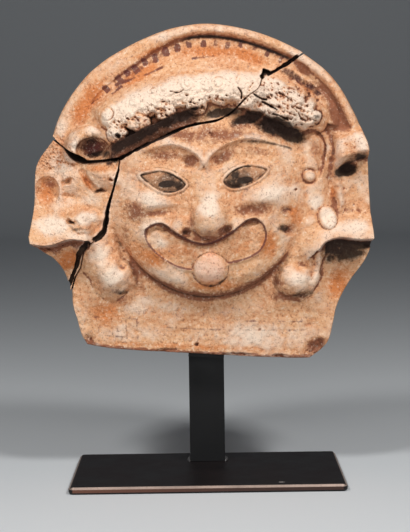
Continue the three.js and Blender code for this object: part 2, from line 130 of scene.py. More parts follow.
def beside(x, z, line, reach=8.0, closed=False):
    """Distance to a line, which side of it a point is on (+1 left, -1 right) and the share along it,
    for points nearer than reach. Further points get a distance of FAR."""
    away = np.full(x.shape, FAR)
    side = np.ones(x.shape)
    share = np.zeros(x.shape)
    low, high = line.min(0) - reach, line.max(0) + reach
    near = (x > low[0]) & (x < high[0]) & (z > low[1]) & (z < high[1])
    if not near.any():
        return away, side, share
    start = line if closed else line[:-1]
    run = (np.roll(line, -1, axis=0) if closed else line[1:]) - start
    best = np.full(int(near.sum()), FAR)
    best_side = np.ones_like(best)
    best_share = np.zeros_like(best)
    px, pz = x[near], z[near]
    for i, ((ax, az), (ux, uz)) in enumerate(zip(start, run)):
        t = np.clip(((px - ax) * ux + (pz - az) * uz) / (ux * ux + uz * uz), 0, 1)
        dx, dz = px - ax - t * ux, pz - az - t * uz
        d = np.hypot(dx, dz)
        closer = d < best - 1e-9
        best = np.where(closer, d, best)
        best_side = np.where(closer, np.where(ux * dz - uz * dx >= 0, 1.0, -1.0), best_side)
        best_share = np.where(closer, (i + t) / len(start), best_share)
    away[near], side[near], share[near] = best, best_side, best_share
    return away, side, share


def inside_by(x, z, line, reach=8.0):
    """How far inside a closed line a point is, negative outside it. A ray to the right crosses the
    line an odd number of times from inside."""
    inside = np.zeros(x.shape, bool)
    for (ax, az), (bx, bz) in zip(line, np.roll(line, -1, axis=0)):
        if az == bz:
            continue
        crosses = (az > z) != (bz > z)
        inside ^= crosses & (x < (bx - ax) * (z - az) / (bz - az) + ax)
    return beside(x, z, line, reach, closed=True)[0] * np.where(inside, 1.0, -1.0)


print("distances to a line are worked out for points nearer than its reach, others get", FAR)

# %% Forms
NOWHERE = -30.0


def step(start, end, value):
    """0 before start, 1 after end, and between them three squares less two cubes of the share."""
    t = np.clip((value - start) / (end - start), 0, 1)
    return t * t * (3 - 2 * t)


def bell(value, width):
    """1 where the value is 0, and away from it e to the power of less the square of value / width."""
    return np.exp(-((value / width) ** 2))


def higher(a, b, fillet):
    """The higher of two surfaces, with a fillet where they cross."""
    t = np.clip(0.5 + (a - b) / (2 * fillet), 0, 1)
    return b + (a - b) * t + fillet * t * (1 - t)


def reach_of(x, z, middle, radii, turn=0.0):
    """How far out a point is in an ellipse: 0 at its middle, 1 on its edge."""
    dx, dz = x - middle[0], z - middle[1]
    c, s = math.cos(turn), math.sin(turn)
    return np.hypot((dx * c + dz * s) / radii[0], (dz * c - dx * s) / radii[1])


def dome(x, z, middle, radii, turn=0.0):
    """Half an ellipsoid: the root of 1 less the square of the reach."""
    return np.sqrt(np.maximum(0, 1 - reach_of(x, z, middle, radii, turn) ** 2))


def pad(x, z, middle, radii, turn=0.0, power=4):
    """A flat-topped boss with a round shoulder: the root of 1 less a high power of the reach."""
    return np.sqrt(np.maximum(0, 1 - reach_of(x, z, middle, radii, turn) ** power))


def swell(x, z, middle, radii, turn=0.0):
    """A soft bulge: the square of 1 less the square of the reach."""
    return np.maximum(0, 1 - reach_of(x, z, middle, radii, turn) ** 2) ** 2


def swells(x, z, spots):
    """The sum of soft bulges, each given by its middle, radii, turn and height."""
    return sum(height * swell(x, z, middle, radii, turn) for middle, radii, turn, height in spots)


def ridge(x, z, line, half_width, closed=False):
    """A soft ridge along a line: the square of 1 less the square of the distance over half_width."""
    away = beside(x, z, line, half_width, closed)[0]
    return np.maximum(0, 1 - (away / half_width) ** 2) ** 2


print("half-way out, a dome is", round(float(dome(0.5, 0, (0, 0), (1, 1))), 2), "high and a swell",
      round(float(swell(0.5, 0, (0, 0), (1, 1))), 2))

# %% Noise
def lattice_noise(x, z, size, seed):
    """Random values at the corners of square cells, joined by smooth steps, from -1 to 1."""
    table = np.random.default_rng(seed).uniform(-1, 1, (256, 256))
    gx, gz = x / size + 1000, z / size + 1000
    ix, iz = np.floor(gx).astype(int), np.floor(gz).astype(int)
    fx, fz = gx - ix, gz - iz
    fx, fz = fx * fx * (3 - 2 * fx), fz * fz * (3 - 2 * fz)
    at = lambda i, j: table[(ix + i) % 256, (iz + j) % 256]
    low = at(0, 0) * (1 - fx) + at(1, 0) * fx
    high = at(0, 1) * (1 - fx) + at(1, 1) * fx
    return low * (1 - fz) + high * fz


def rough(x, z, size, seed, octaves=4, fade=0.55):
    """Lattice noise at several scales, each finer than the last and weaker."""
    turn = 0.6
    total, weight = 0, 0
    for k in range(octaves):
        total = total + fade**k * lattice_noise(x, z, size, seed + k)
        weight += fade**k
        x, z = x * math.cos(turn) - z * math.sin(turn), x * math.sin(turn) + z * math.cos(turn)
        size /= 2.1
    return total / weight


def wandering(x, z, amount, size, seeds, octaves=3):
    """The places x and z, each moved by noise: a form drawn on them gets a worn outline."""
    moved_x = x + amount * rough(x, z, size, seeds[0], octaves)
    return moved_x, z + amount * rough(x, z, size, seeds[1], octaves)


def pits(x, z, size, seed, share=1.0, radius=0.4):
    """Round pits, one in a random place in each cell, kept in a share of the cells: 1 at a pit's
    middle, 0 at its edge and outside. The radius is a share of the cell and varies from pit to pit."""
    source = np.random.default_rng(seed)
    jitter = source.uniform(0.2, 0.8, (128, 128, 2))
    kept = source.uniform(0, 1, (128, 128)) < share
    wide = radius * source.uniform(0.4, 1, (128, 128))
    gx, gz = x / size + 500, z / size + 500
    ix, iz = np.floor(gx).astype(int), np.floor(gz).astype(int)
    deepest = np.zeros(x.shape)
    for i in (-1, 0, 1):
        for j in (-1, 0, 1):
            a, b = (ix + i) % 128, (iz + j) % 128
            d = np.hypot(gx - ix - i - jitter[a, b, 0], gz - iz - j - jitter[a, b, 1])
            depth = np.maximum(0, 1 - (d / wide[a, b]) ** 2) * kept[a, b]
            deepest = np.maximum(deepest, depth)
    return deepest


print("tools ready: curves, distances, forms and noise")

# %% [markdown]
# ## Outline and breaks
#
# The plaque's outline is arched above and nearly straight at the foot, with a stump on each side
# where an outer lock broke off. Two breaks part it in three. The crown sits on the upper one, and
# the left piece lies beside the other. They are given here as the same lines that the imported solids
# have, so a piece made here fills the place of its solid.

# %% Outline and breaks
outline = {
    "foot": [
        (-35.8, 4.5), (-27.5, 3.1), (-13.9, 2), (0, 1.1), (12, 0.2), (24, -0.4), (31.2, -0.5),
    ],
    "right": [
        (31.2, -0.5), (34.7, 1.8), (37, 5), (38.4, 10.4), (39.6, 15.6), (43.2, 22.4), (48.2, 29.4),
        (49.9, 35), (49.6, 44), (49, 54), (48.7, 62.4), (47.8, 66), (45.2, 72.6), (40.8, 80.6),
        (36.2, 86), (30.2, 90.6),
    ],
    "crown": [
        (-44.8, 67.2), (-42.9, 72.6), (-39.6, 78.4), (-34.8, 84.4), (-30.2, 88.4), (-25.6, 91.4),
        (-18, 95.3), (-9, 98.5), (1, 99.8), (11, 98.5), (20, 95.8), (28.3, 91.9),
    ],
    "crown_tip": [(29.2, 91.4), (28.3, 91.9)],
    "left_low": [(-35.8, 4.5), (-37.4, 7.4), (-38.7, 12.4), (-39.8, 16.4), (-40, 20.9)],
    "left_shelf": [
        (-40.4, 21), (-42.2, 26.6), (-45.2, 30.5), (-48.4, 32.8), (-50.9, 35), (-51.8, 37.8),
    ],
    "left_high": [
        (-51.8, 37.8), (-50.8, 44), (-50.4, 50), (-50.1, 56.2), (-48.8, 60.4), (-44.6, 66),
    ],
}
breaks = {
    "under_crown": [
        (-24.6, 60.4), (-20, 62.8), (-12, 66.4), (-4, 69.7), (4, 71.2), (8.6, 73.6), (12.6, 77.6),
        (16.4, 80.4), (17.6, 83.6),
    ],
    "crown_end": [(17.6, 83.6), (20.4, 84.9), (25, 87.4), (30, 90.7)],
    "beside_left": [
        (-40.2, 20.9), (-39, 24.8), (-37.2, 28), (-36, 32.2), (-33.4, 35.4), (-30.2, 38.4),
        (-29.2, 42), (-28.4, 47), (-26.6, 52), (-25.4, 56), (-24.8, 59.6),
    ],
    "crown_left_end": [(-34.4, 60), (-36.4, 61.4), (-39.6, 63), (-42.4, 64.8), (-44.8, 67.2)],
    "crown_left_foot": [(-34.4, 60), (-29.6, 60.2), (-24.6, 60.9)],
    "left_top": [
        (-44.6, 66), (-41.6, 63.4), (-38, 59.4), (-33.6, 58.5), (-29, 59), (-25.2, 59.2),
    ],
}
JOINT_GAP = 0.0011
half_gap = JOINT_GAP / UNIT / 2

edge = {name: along(points, 6) for name, points in {**outline, **breaks}.items()}
rim_line = along([*outline["crown"], *outline["right"][:-6:-1]])


def joined(*parts):
    """Lines end to end, with the meeting ends replaced by the next line's first point."""
    line = parts[0]
    for part in parts[1:]:
        line = np.concatenate([line[:-1], part])
    return line


def ended(line, last):
    """The line with its last point moved to another line's end."""
    return np.concatenate([line[:-1], last[None]])


over = shifted(edge["under_crown"], half_gap)
over_end = shifted(edge["crown_end"], half_gap)
crown_bottom = joined(edge["crown_left_foot"], over, over_end)
crown_edges = {
    "bottom": crown_bottom,
    "top": edge["crown"],
    "left": edge["crown_left_end"],
    "right": along([crown_bottom[-1], *outline["crown_tip"]], 6),
}
mask_top = joined(shifted(edge["under_crown"], -half_gap), shifted(edge["crown_end"], -half_gap))
mask_edges = {
    "bottom": edge["foot"],
    "top": mask_top,
    "left": ended(joined(edge["left_low"], shifted(edge["beside_left"], -half_gap)), mask_top[0]),
    "right": ended(edge["right"], mask_top[-1]),
}
left_right = shifted(edge["beside_left"], half_gap)
left_edges = {
    "bottom": ended(edge["left_shelf"][::-1], left_right[0]),
    "top": ended(edge["left_top"], left_right[-1]),
    "left": edge["left_high"],
    "right": left_right,
}
print("edges of the three clay pieces laid out")

# %% [markdown]
# ## The rim and the hollow moulding
#
# The top edge is a round roll, like a rope laid along the arch. Inside it runs a narrow groove, and
# from there a hollow moulding rises to the hair. The roll is a half ellipse across the distance from
# the outline, on a base that slopes down to the groove, and the moulding is a parabola. On the left
# the mould was blunt: the roll is wide and flat there and runs into the moulding without a groove.

# %% The rim and the hollow moulding
ROLL_WIDTH, ROLL_CREST = 3.6, 2.4
MOULDING_TOP, MOULDING_END = 4.4, 13.4


def roll_width(x, z):
    """The roll's width, which grows to the left."""
    low_left = step(80, 70, z) * step(-10, -30, x)
    return ROLL_WIDTH + 2.6 * step(-2, -24, x) + 0.8 * low_left + 0.2 * lattice_noise(x, z, 9, 11)


def rim_forms(x, z):
    """Roll, groove and moulding by the distance from the arched outline."""
    away = beside(x, z, rim_line, 16)[0]
    crisp = 0.12 + 0.88 * step(-22, -3, x)
    right = step(24, 34, x)
    width = roll_width(x, z)
    crest = ROLL_CREST - 0.7 * (1 - crisp)
    groove = 1.3 - 3.0 * crisp - 0.5 * right
    across = np.clip(away / width, 0, 1)
    roll = crest * np.sqrt(np.maximum(0, 1 - (2 * across - 1) ** 2)) + groove * across**6
    start = width + 0.3 + 2.8 * right
    rise = np.clip((away - start) / (MOULDING_END - start), 0, 1)
    moulding = groove + (MOULDING_TOP - groove) * (0.45 * rise + 0.55 * rise**2)
    return np.where(away < width, roll, moulding)


print(f"the roll is {roll_width(0, 99) * UNIT * 1000:.1f} mm wide at the top of the arch")

# %% The ground
def ground_forms(x, z):
    """The flat ground, raised at the sides, and the crown's mouldings above."""
    sides = 2.0 * step(22, 38, z) + 2.6 * step(40, 31, np.abs(x)) * step(34, 42, z)
    sides += 1.3 * step(6, 19, z) * step(42, 33, np.abs(x)) * step(36, 28, z)
    return sides + (rim_forms(x, z) - sides) * step(61, 67, z)

# %% [markdown]
# ## Two rows of snail curls
#
# The hair is a thick roll over the brow, with a row of flat snail curls on top and a row of knobs
# that hang over the forehead. In the mould each curl was a small cup with a ring. On the left they
# are worn, and a ring shows here and there. On the right the clay has split off, and what is left is
# a porous break. A curl is a low boss, its ring a shallow groove, a knob half an ellipsoid, and the
# break is noise that is drawn out down to the right, as the clay was torn.

# %% The lines and curls of the hair
# A flat curl has a middle and a radius, a knob has a middle, radii and how round it still is. A hollow
# or a swelling has a middle, radii, a turn and a height.
hair_line = along([
    (-29.5, 69), (-25.5, 71.8), (-19, 75), (-9, 78.2), (2, 79.6), (12, 79), (21, 76.2), (27.5, 73.4),
    (32.4, 71.6),
])
faint_curls = [
    ((-28, 73.4), 2.7), ((-19.9, 77.7), 1.6), ((-14.4, 80), 1.2), ((-11.4, 80.8), 1.4),
    ((-4.4, 82.3), 1.7), ((4.6, 82.2), 2.2), ((12.2, 82.6), 1.9), ((19.6, 81.4), 2.1),
    ((27.6, 76.8), 1.9), ((32.6, 71.6), 1.7),
]
knobs = [
    ((-25.2, 67.8), (3.2, 2.8), 1.0), ((-19, 70.8), (3.6, 2.9), 0.9), ((-10.8, 73.8), (3.2, 3.2), 0.9),
    ((-2, 76.2), (3.4, 3), 1.0), ((5.8, 78.2), (3.8, 2.9), 0.8), ((12.6, 77.8), (3.4, 3), 0.6),
    ((20.6, 75), (3.6, 3.4), 0.5), ((25.6, 72.6), (3.6, 3.4), 0.6), ((31, 71.4), (3.6, 2.4), 0.1),
]
hair_hollows = [
    ((-24.9, 67), (1.1, 0.8), 0, 1.6), ((-2.6, 74.8), (1.8, 0.8), 0, 1.8), ((32.7, 71.5), (1.2, 1), 0, 0.5),
    ((19.9, 75.1), (1.5, 0.8), -0.3, 2.4), ((-13.8, 72.4), (1.1, 1.2), 0, 2.6),
    ((24.4, 71.6), (1, 0.6), 0, 1.8), ((-8, 79.2), (1.8, 0.4), 0.5, 0.9),
    ((-11.4, 76.8), (1.2, 0.35), 0.1, 0.8), ((7, 78.4), (0.8, 0.5), -0.5, 1.2),
]
hair_swellings = [
    ((9, 79.6), (5, 4), 0.2, 1.0), ((16.8, 79.4), (4, 3.6), -0.4, 0.9), ((25.4, 73.6), (6, 5), -0.5, 1.3),
]
HAIR_CREST, HAIR_ABOVE, HAIR_BELOW = 9.8, 8.6, 4.3
KNOB_ROOT, KNOB_HEIGHT = 6.4, 4.4
CURL_HEIGHT, CURL_SPREAD = 0.55, 1.25
RING_AT, RING_WIDTH, RING_DEPTH = 0.72, 0.4, 0.7
KNOB_RING_DEPTH = 0.5
print(len(faint_curls), "flat curls and", len(knobs), "knobs")

# %% Curls and breaks
def rings(x, z, curls, scale=1.0):
    """Shallow round grooves: 1 in the groove of a curl, 0 away from it."""
    deepest = np.zeros(x.shape)
    for middle, radius in curls:
        off = reach_of(x, z, middle, (radius, radius))
        groove = np.maximum(0, 1 - ((off - RING_AT * scale) * radius / RING_WIDTH) ** 2)
        deepest = np.maximum(deepest, groove)
    return deepest


def split_off(x, z):
    """Where the curls have split off: the right-hand half, most of all over the ear."""
    return step(7, 18, x) * step(66, 70, z) * step(85, 79, z) * step(36.5, 33, x)


def crumbs(x, z, size, seed):
    """Ragged hollows, longer down to the right than across: where drawn-out noise is high."""
    lean = 0.5
    run, across = x * math.cos(lean) - z * math.sin(lean), x * math.sin(lean) + z * math.cos(lean)
    return step(0.1, 0.5, rough(run / 1.7, across, size / 2.9, seed, 3))


def broken_hair(x, z, low):
    """How far the clay stands out or lies back where the hair is broken: coarse noise, sharp furrows
    and crumbs, each stronger on the lower row, given by low, and on the part that split off."""
    split = split_off(x, z)
    furrows = 0.5 - 2 * np.abs(rough(x, z, 1.7, 28, 3))
    depth = (0.35 + 0.7 * low + 1.0 * split) * rough(x, z, 2.8, 21)
    depth += (0.14 + 0.8 * low + 0.7 * split) * furrows
    return depth - (0.14 + 1.0 * low + 0.95 * split) * crumbs(x, z, 3.4, 26)

# %% The hair as a whole
def hair_roll(x, z):
    """The bare roll, a parabola above its crest and below it the root of 1 less a fourth power. Given
    back with it is how far below the crest a point lies."""
    away, side, share = beside(x, z, hair_line, 9.5)
    low_reach = HAIR_BELOW + 0.8 * step(6, 16, x)
    above = np.maximum(0, 1 - (away / HAIR_ABOVE) ** 2)
    below = np.sqrt(np.maximum(0, 1 - (away / low_reach) ** 4))
    ends = step(0, 0.09, share) * step(1, 0.95, share)
    return HAIR_CREST * np.where(side > 0, above, below) * (0.62 + 0.38 * ends), away * -side


def hair_forms(x, z):
    """The roll with its knobs, curls and rings, its hollows and swellings, and its broken clay."""
    depth, down = hair_roll(x, z)
    worn_x, worn_z = wandering(x, z, 0.7, 2.6, (24, 25), 2)
    for middle, radii, weight in knobs:
        bulge = dome(worn_x, worn_z, middle, radii)
        knob = KNOB_ROOT + KNOB_HEIGHT * bulge**0.55 * (0.7 + 0.3 * weight)
        depth = higher(depth, np.where(bulge > 0, knob, NOWHERE), 0.5)
    hair = step(0.5, 4, depth)
    low = step(-1.5, 2.5, down) * step(18, 8, x)
    for middle, radius in faint_curls:
        depth += CURL_HEIGHT * pad(worn_x, worn_z, middle, (radius * CURL_SPREAD,) * 2, power=3) * hair
    clear = np.clip(0.55 + 0.9 * rough(x, z, 3.2, 47, 2), 0.1, 1) * step(20, 2, x)
    ring_x, ring_z = x + 0.2 * (worn_x - x), z + 0.2 * (worn_z - z)
    depth -= RING_DEPTH * rings(ring_x, ring_z, faint_curls) * clear * hair
    knob_rings = [(middle, radii[0] * 0.85) for middle, radii, _ in (knobs[0], knobs[2], knobs[3])]
    depth -= KNOB_RING_DEPTH * rings(worn_x, worn_z, knob_rings, 0.75) * hair
    slow = 1.5 * step(-4, 8, x) * rough(x, z, 6.5, 46, 2)
    depth += (slow + swells(x, z, hair_swellings) - swells(x, z, hair_hollows)) * hair
    depth += broken_hair(x, z, low) * hair
    return np.where(depth > 0.2, depth, NOWHERE)


print(f"the hair stands {hair_roll(np.array([2.0]), np.array([79.6]))[0][0]:.1f} units before the ground")

# %% [markdown]
# ## The mask
#
# The face is a flattened dome with full cheeks and a jaw that falls steeply to the plaque, so that
# from below it reads as a disc. Its features sit on the dome: arched brows, almond eyes in raised
# lids, a short nose with a round tip, and the wide open mouth of a gorgon with its tongue out. Each
# is a ridge, a dome or a swell of its own, added to the dome or cut into it.

# %% The lines of the face
brow_left = along([(-0.4, 59), (-1.6, 61), (-4.6, 63.2), (-9.4, 64.6), (-14.5, 63.6), (-19.8, 61.4)])
brow_right = along([(0.7, 59), (2.4, 61.4), (6.4, 64.2), (12.4, 66), (18.6, 65.2), (25.8, 63)])
eye_left = around([
    (-18.9, 55.4), (-16, 56.5), (-12.4, 56.9), (-8.6, 55.7), (-5.2, 53), (-6.8, 51), (-10.6, 50.1),
    (-14.8, 51.8),
])
eye_right = around([
    (5.5, 53.3), (7.6, 56.1), (11.2, 57.9), (15, 58), (18.8, 56.7), (16.4, 53.9), (12, 51.7), (8, 51.2),
])
upper_lip = along([
    (-17.2, 39.6), (-14.6, 41), (-12, 41.1), (-8.4, 38.4), (-4, 36), (0.2, 35.2), (4.6, 36.5), (8.6, 39),
    (12.4, 41.8), (15, 42.4),
])
lower_lip = along([
    (15, 42.4), (17.2, 40.5), (18, 37), (16.2, 33), (12, 30.6), (6.6, 29.4), (1.6, 28.4),
    (-4.4, 27.7), (-8.6, 28.8), (-13.4, 31.8), (-16.4, 35.2), (-17.4, 38), (-17.2, 39.6),
])
mouth_line = np.concatenate([upper_lip[:-1], lower_lip[:-1]])

FACE_MIDDLE, FACE_HALF_WIDTH, FACE_DOWN, FACE_UP = (1.2, 46.5), 29.2, 28.2, 41
FACE_DEPTH, FACE_POWER, JAW_STEP = 9.6, 1.9, 0.3
TONGUE_MIDDLE, TONGUE_RADII = (1.6, 27.6), (5.2, 5.1)
face_swells = [
    ((-15.5, 47.4), (9.8, 6.6), 0, 1.8), ((17.5, 48.6), (9.8, 6.8), 0, 1.8),
    ((-12, 60.2), (10.5, 4.6), 0, -1.0), ((13.5, 61.4), (11, 4.8), 0, -1.0),
    ((-4, 59.2), (3.8, 3.0), 0, -1.9), ((3.9, 59.4), (2.8, 3.0), 0, -1.3),
    ((-12.5, 44.9), (7.6, 2.4), 0.1, -1.1), ((15.4, 45), (8.4, 3), 0.1, -1.1),
    ((2, 23.8), (11, 2.6), 0, -0.7), ((-10, 25.6), (9, 3.4), -0.5, 0.8),
    ((13.5, 26.4), (9, 3.4), 0.5, 0.8), ((2, 21.3), (3.4, 1.1), 0, 0.9),
]
print(f"the face is {2000 * FACE_HALF_WIDTH * UNIT:.0f} mm wide")

# %% The nose and the mouth
def nose_forms(x, z):
    """A soft back that widens downwards, a round tip, two low wings and the nostrils."""
    down = step(60, 44, z)
    middle = 0.3 + 1.9 * down
    width = 2.6 + 4.4 * down
    on_back = step(62, 57, z) * step(36, 41, z)
    back = (0.5 + 3.5 * down) * bell(x - middle, width) * on_back
    tip = 6.4 * dome(x, z, (1.6, 42.4), (5.6, 5.8)) ** 0.9
    left_wing = 2.7 * dome(x, z, (-5.8, 40.6), (3.9, 3.2))
    right_wing = 2.5 * dome(x, z, (7.8, 41.8), (4.2, 3.2))
    nostrils = swells(x, z, [((-5.2, 38.8), (1.8, 1.3), 0, 1.9), ((6.8, 39.6), (2.2, 1.6), 0.4, 2.2)])
    return higher(higher(back, tip, 1.6), np.maximum(left_wing, right_wing), 1.5) - nostrils


def lips(x, z, inside):
    """Thin lips on the mouth's line, and the mouth between them, nearly flush and sunk only under the
    upper lip and in its two lobes."""
    from_upper = beside(x, z, upper_lip, 7)[0]
    lobes = swells(x, z, [((-11.6, 40.2), (4.4, 2.6), -0.3, 1), ((12.8, 41.2), (4.4, 2.6), 0.4, 1)])
    sunk = step(-0.25, 0.35, inside) * (0.3 + 1.0 * step(3.0, 0.2, from_upper) + 0.8 * lobes)
    upper = 0.5 * bell(inside + 0.8, 0.85) * step(6, 3, from_upper)
    return upper + 0.5 * bell(inside + 0.4, 0.42) - sunk


def mouth_forms(x, z):
    """Lips, the tongue that hangs over the chin, a flat boss that stands out more towards its foot,
    and the tongue's root inside the mouth."""
    inside = inside_by(x, z, mouth_line, 6)
    around_tongue = lips(x, z, inside)
    out = reach_of(x, z, TONGUE_MIDDLE, TONGUE_RADII)
    tongue = 2.6 * np.sqrt(np.maximum(0, 1 - out**5)) + 0.5 * swell(x, z, TONGUE_MIDDLE, TONGUE_RADII)
    tongue += 0.14 * (TONGUE_MIDDLE[1] - z) - 0.3
    root = 1.5 * pad(x, z, (1.2, 30.5), (4.9, 5.2), power=3) * step(36, 30, z) * (inside > 0)
    return np.where(out < 1, higher(tongue, around_tongue, 0.2), around_tongue + root)

# %% Brows and eyes
BROW_HEIGHT = 1.6


def brow(x, z, line, upper_side):
    """A step along a line: soft above it, steep below, fading at its outer end."""
    away, side, share = beside(x, z, line, 7)
    return np.where(side * upper_side > 0, bell(away, 1.9), bell(away, 0.65)) * step(1.0, 0.8, share)


def eye_forms(x, z, eye, turn, middle):
    """A low ball inside a thin raised lid, with a groove between them."""
    inside = inside_by(x, z, eye, 4)
    ball = 1.1 * swell(x, z, middle, (6.6, 4.2), turn) * step(-0.2, 0.8, inside)
    return ball + 0.6 * bell(inside + 0.1, 0.34) - 0.4 * bell(inside - 0.65, 0.4)

# %% The whole face
def feature_forms(x, z):
    """All that is carved on the dome of the face: nose, mouth, cheeks and sockets, brows and eyes."""
    depth = nose_forms(x, z) + mouth_forms(x, z)
    depth += swells(x, z, face_swells)
    depth += BROW_HEIGHT * np.maximum(brow(x, z, brow_left, -1), brow(x, z, brow_right, 1))
    depth += eye_forms(x, z, eye_left, -0.13, (-11.8, 53.6))
    depth += eye_forms(x, z, eye_right, 0.24, (12, 54.8))
    return depth


def face_reach(x, z):
    """How far out a point of the face is: 0 at its middle, 1 on its edge."""
    dx = np.abs(x - FACE_MIDDLE[0]) / FACE_HALF_WIDTH
    dz = z - FACE_MIDDLE[1]
    dy = np.abs(dz) / np.where(dz > 0, FACE_UP, FACE_DOWN)
    return (dx**FACE_POWER + dy**FACE_POWER) ** (1 / FACE_POWER)


def face_forms(x, z):
    """The dome, as the root of 1 less a power of the reach, with a low steep step at the jaw, and its
    features. The forehead draws back under the hair, most of all on the right."""
    out = face_reach(x, z)
    jaw = step(42, 30, z)
    share = np.sqrt(np.maximum(0, 1 - out ** (4 - 1.3 * jaw)))
    edge_step = step(1.0, 0.94, out)
    level = share * (1 - JAW_STEP * jaw) + JAW_STEP * jaw * edge_step
    drawn_back = 3.0 * step(61, 76, z) + 3.2 * step(66, 74, z) * step(3, 12, x)
    depth = FACE_DEPTH * level - drawn_back
    return np.where(out < 1, depth + share * feature_forms(x, z), NOWHERE)


print(f"at its middle the face stands {face_forms(np.array([1.2]), np.array([46.5]))[0]:.1f} units out")

# %% [markdown]
# ## Ears, ledges and locks
#
# On the right an ear survives, a line that curls round a pellet for its lobe. On the left its bowl
# is left, with a thick rim, and some lumps. Two locks hang beside the jaw and end in round knobs.
# Outside them the plaque carried longer locks that broke away: their stumps are now ledges with a
# hollow beneath.

# %% The lines beside the face
ear_right = along([
    (29, 67.5), (32, 68.3), (34.5, 67.3), (36, 65.5), (36.5, 63), (36, 60), (35.8, 58), (35.2, 56),
    (34.5, 54.5), (33.3, 53), (32, 52.2), (30, 52.7), (29, 54.3), (29.2, 56), (30.5, 56.4), (32.3, 56.3),
])
EAR_SHELL_SHARE = 0.5                    # the share of that line that bounds the ear's hollow
bowl_rim = along([(-38.2, 62.2), (-37.4, 65.3), (-34.6, 67.6), (-30.6, 67.8), (-27.2, 66.2)])
BOWL_MIDDLE, BOWL_RADII = (-32.4, 63.1), (5.1, 3.7)
channel_right = along([(37.2, 58.6), (37, 54), (37.6, 49.6), (39, 46)])
ridge_right = along([(39.4, 60), (39.6, 54), (40.6, 47), (41, 43)])
channel_left = along([(-36.2, 56.6), (-34.4, 54), (-32.3, 51.3)])
strut_left = along([(-43.4, 54), (-42.8, 50), (-43, 44)])
block_edge = along([(38.6, 58.2), (41, 60.2), (44, 61), (46.5, 62), (49.4, 61.8)])
ledge_right = along([(33.6, 33), (36, 35.5), (40, 36.5), (46, 35.8), (50.6, 36)])
ledge_left = along([(-53, 36.2), (-48, 35.4), (-44.6, 35.6), (-40.4, 37), (-36.6, 36.9), (-33, 36)])
lock_right = along([(30.4, 38), (29.2, 31), (27.4, 23.4)])
lock_right_fold = along([(34.6, 33.6), (34.6, 29.6), (34, 25.4), (32.4, 21)])
lock_left = along([(-33, 36), (-30.8, 30), (-27.4, 24.6)])
lock_left_ring = along([(-26, 31), (-23.6, 29.6), (-22, 26.8)])
print("lines laid out for the ears, three ledges and two locks")

# %% Ledges, lumps and the right ear
EAR_PELLET = (31.3, 54.5)
side_hollows = [
    ((-46.6, 49), (4.6, 6), 0, 0.8), ((45.6, 47), (5, 9), 0, 0.9), ((41.2, 39.3), (1.4, 0.9), 0, 1.6),
    ((32.9, 39.4), (0.9, 1.7), 0, 2.0),
]
torn_hollows = [
    ((-40.8, 53.8), (2.0, 1.3), 0, 1.8), ((-39.6, 49.3), (2.6, 1.2), 0, 2.0),
    ((-30.8, 51.2), (2.2, 1.2), 0.15, 2.4), ((-27.8, 54.3), (1.5, 1.0), 0, 1.6),
]
ledge_hollows = [
    ((42.8, 56.6), (3.4, 2.4), 0.35, 3.0), ((41.6, 31), (8, 4), 0, 1.6), ((-42, 31), (6, 4.4), 0, 1.4),
]


def shelf(x, z, line, height, slope, drop):
    """A surface that rises over slope towards a line and falls back over drop beyond it."""
    away, side, _ = beside(x, z, line, max(slope, drop) + 1)
    up = np.maximum(0, 1 - away / slope)
    down = np.maximum(0, 1 - away / drop) ** 0.6
    return height * np.where(side > 0, up**0.9, down)


def ear_forms(x, z):
    """The right ear: sunk inside its line, most of all close to it, with a low rim outside, and a
    pellet in a ring."""
    away, side, share = beside(x, z, ear_right, 6)
    shell = step(EAR_SHELL_SHARE + 0.05, EAR_SHELL_SHARE - 0.05, share)
    sunk = 1.2 * bell(away - 0.5, 1.9) * (side < 0) * shell
    rim = 0.35 * bell(away - 0.9, 0.9) * (side > 0) * shell
    curl = 0.25 * bell(away, 0.5) * (1 - shell)
    off = np.hypot(x - EAR_PELLET[0], z - EAR_PELLET[1])
    pellet = 0.6 * pad(x, z, EAR_PELLET, (1.8, 1.7), power=3) - 0.5 * bell(off - 2.1, 0.4)
    return rim - sunk - curl + pellet


def lumps(x, z, worn, depth):
    """Channels, struts, lumps and hollows between the ears and the ledges, added to the depth. Those
    that were torn are drawn on the worn places."""
    channels = np.maximum(0.8 * ridge(x, z, channel_right, 2.0), 1.3 * ridge(x, z, channel_left, 1.3))
    depth = depth - channels + 0.9 * ridge(x, z, ridge_right, 1.7) + 0.8 * ridge(x, z, strut_left, 1.4)
    depth += 2.6 * swell(*worn, (-29.6, 55.6), (6, 4.6), -0.4) ** 0.8
    depth += 1.6 * swell(x, z, (-38.6, 54.4), (5, 6)) - 1.5 * pad(x, z, (-46.6, 51.2), (3.8, 4.2), power=3)
    return depth - swells(x, z, side_hollows) - swells(*worn, torn_hollows)


def side_forms(x, z, ground):
    """The ledges that the outer locks left, each a shelf with a hollow under it, set on the ground
    with its lumps, and on them a pellet and the white lump of the left piece."""
    worn = wandering(x, z, 1.3, 3.0, (27, 45))
    depth = lumps(x, z, worn, ground)
    depth = higher(depth, shelf(x, z, ledge_right, 9.4, 9, 1.2), 0.7)
    depth = higher(depth, shelf(x, z, ledge_left, 10.4, 14, 1.6) * step(-30, -35.5, x), 0.9)
    depth = higher(depth, shelf(x, z, block_edge, 8.4, 8, 2.6) * step(36.5, 41, x), 0.8)
    depth += 1.9 * pad(x, z, (36.6, 42.2), (2.8, 3.4), 0.15, power=3)
    depth += 2.3 * swell(*worn, (-35.2, 42.6), (5.6, 3.6), 0.1) ** 0.5
    depth -= 2.6 * swell(*worn, (-39.0, 41.8), (2.6, 1.2), -0.15)
    return depth - swells(x, z, ledge_hollows)

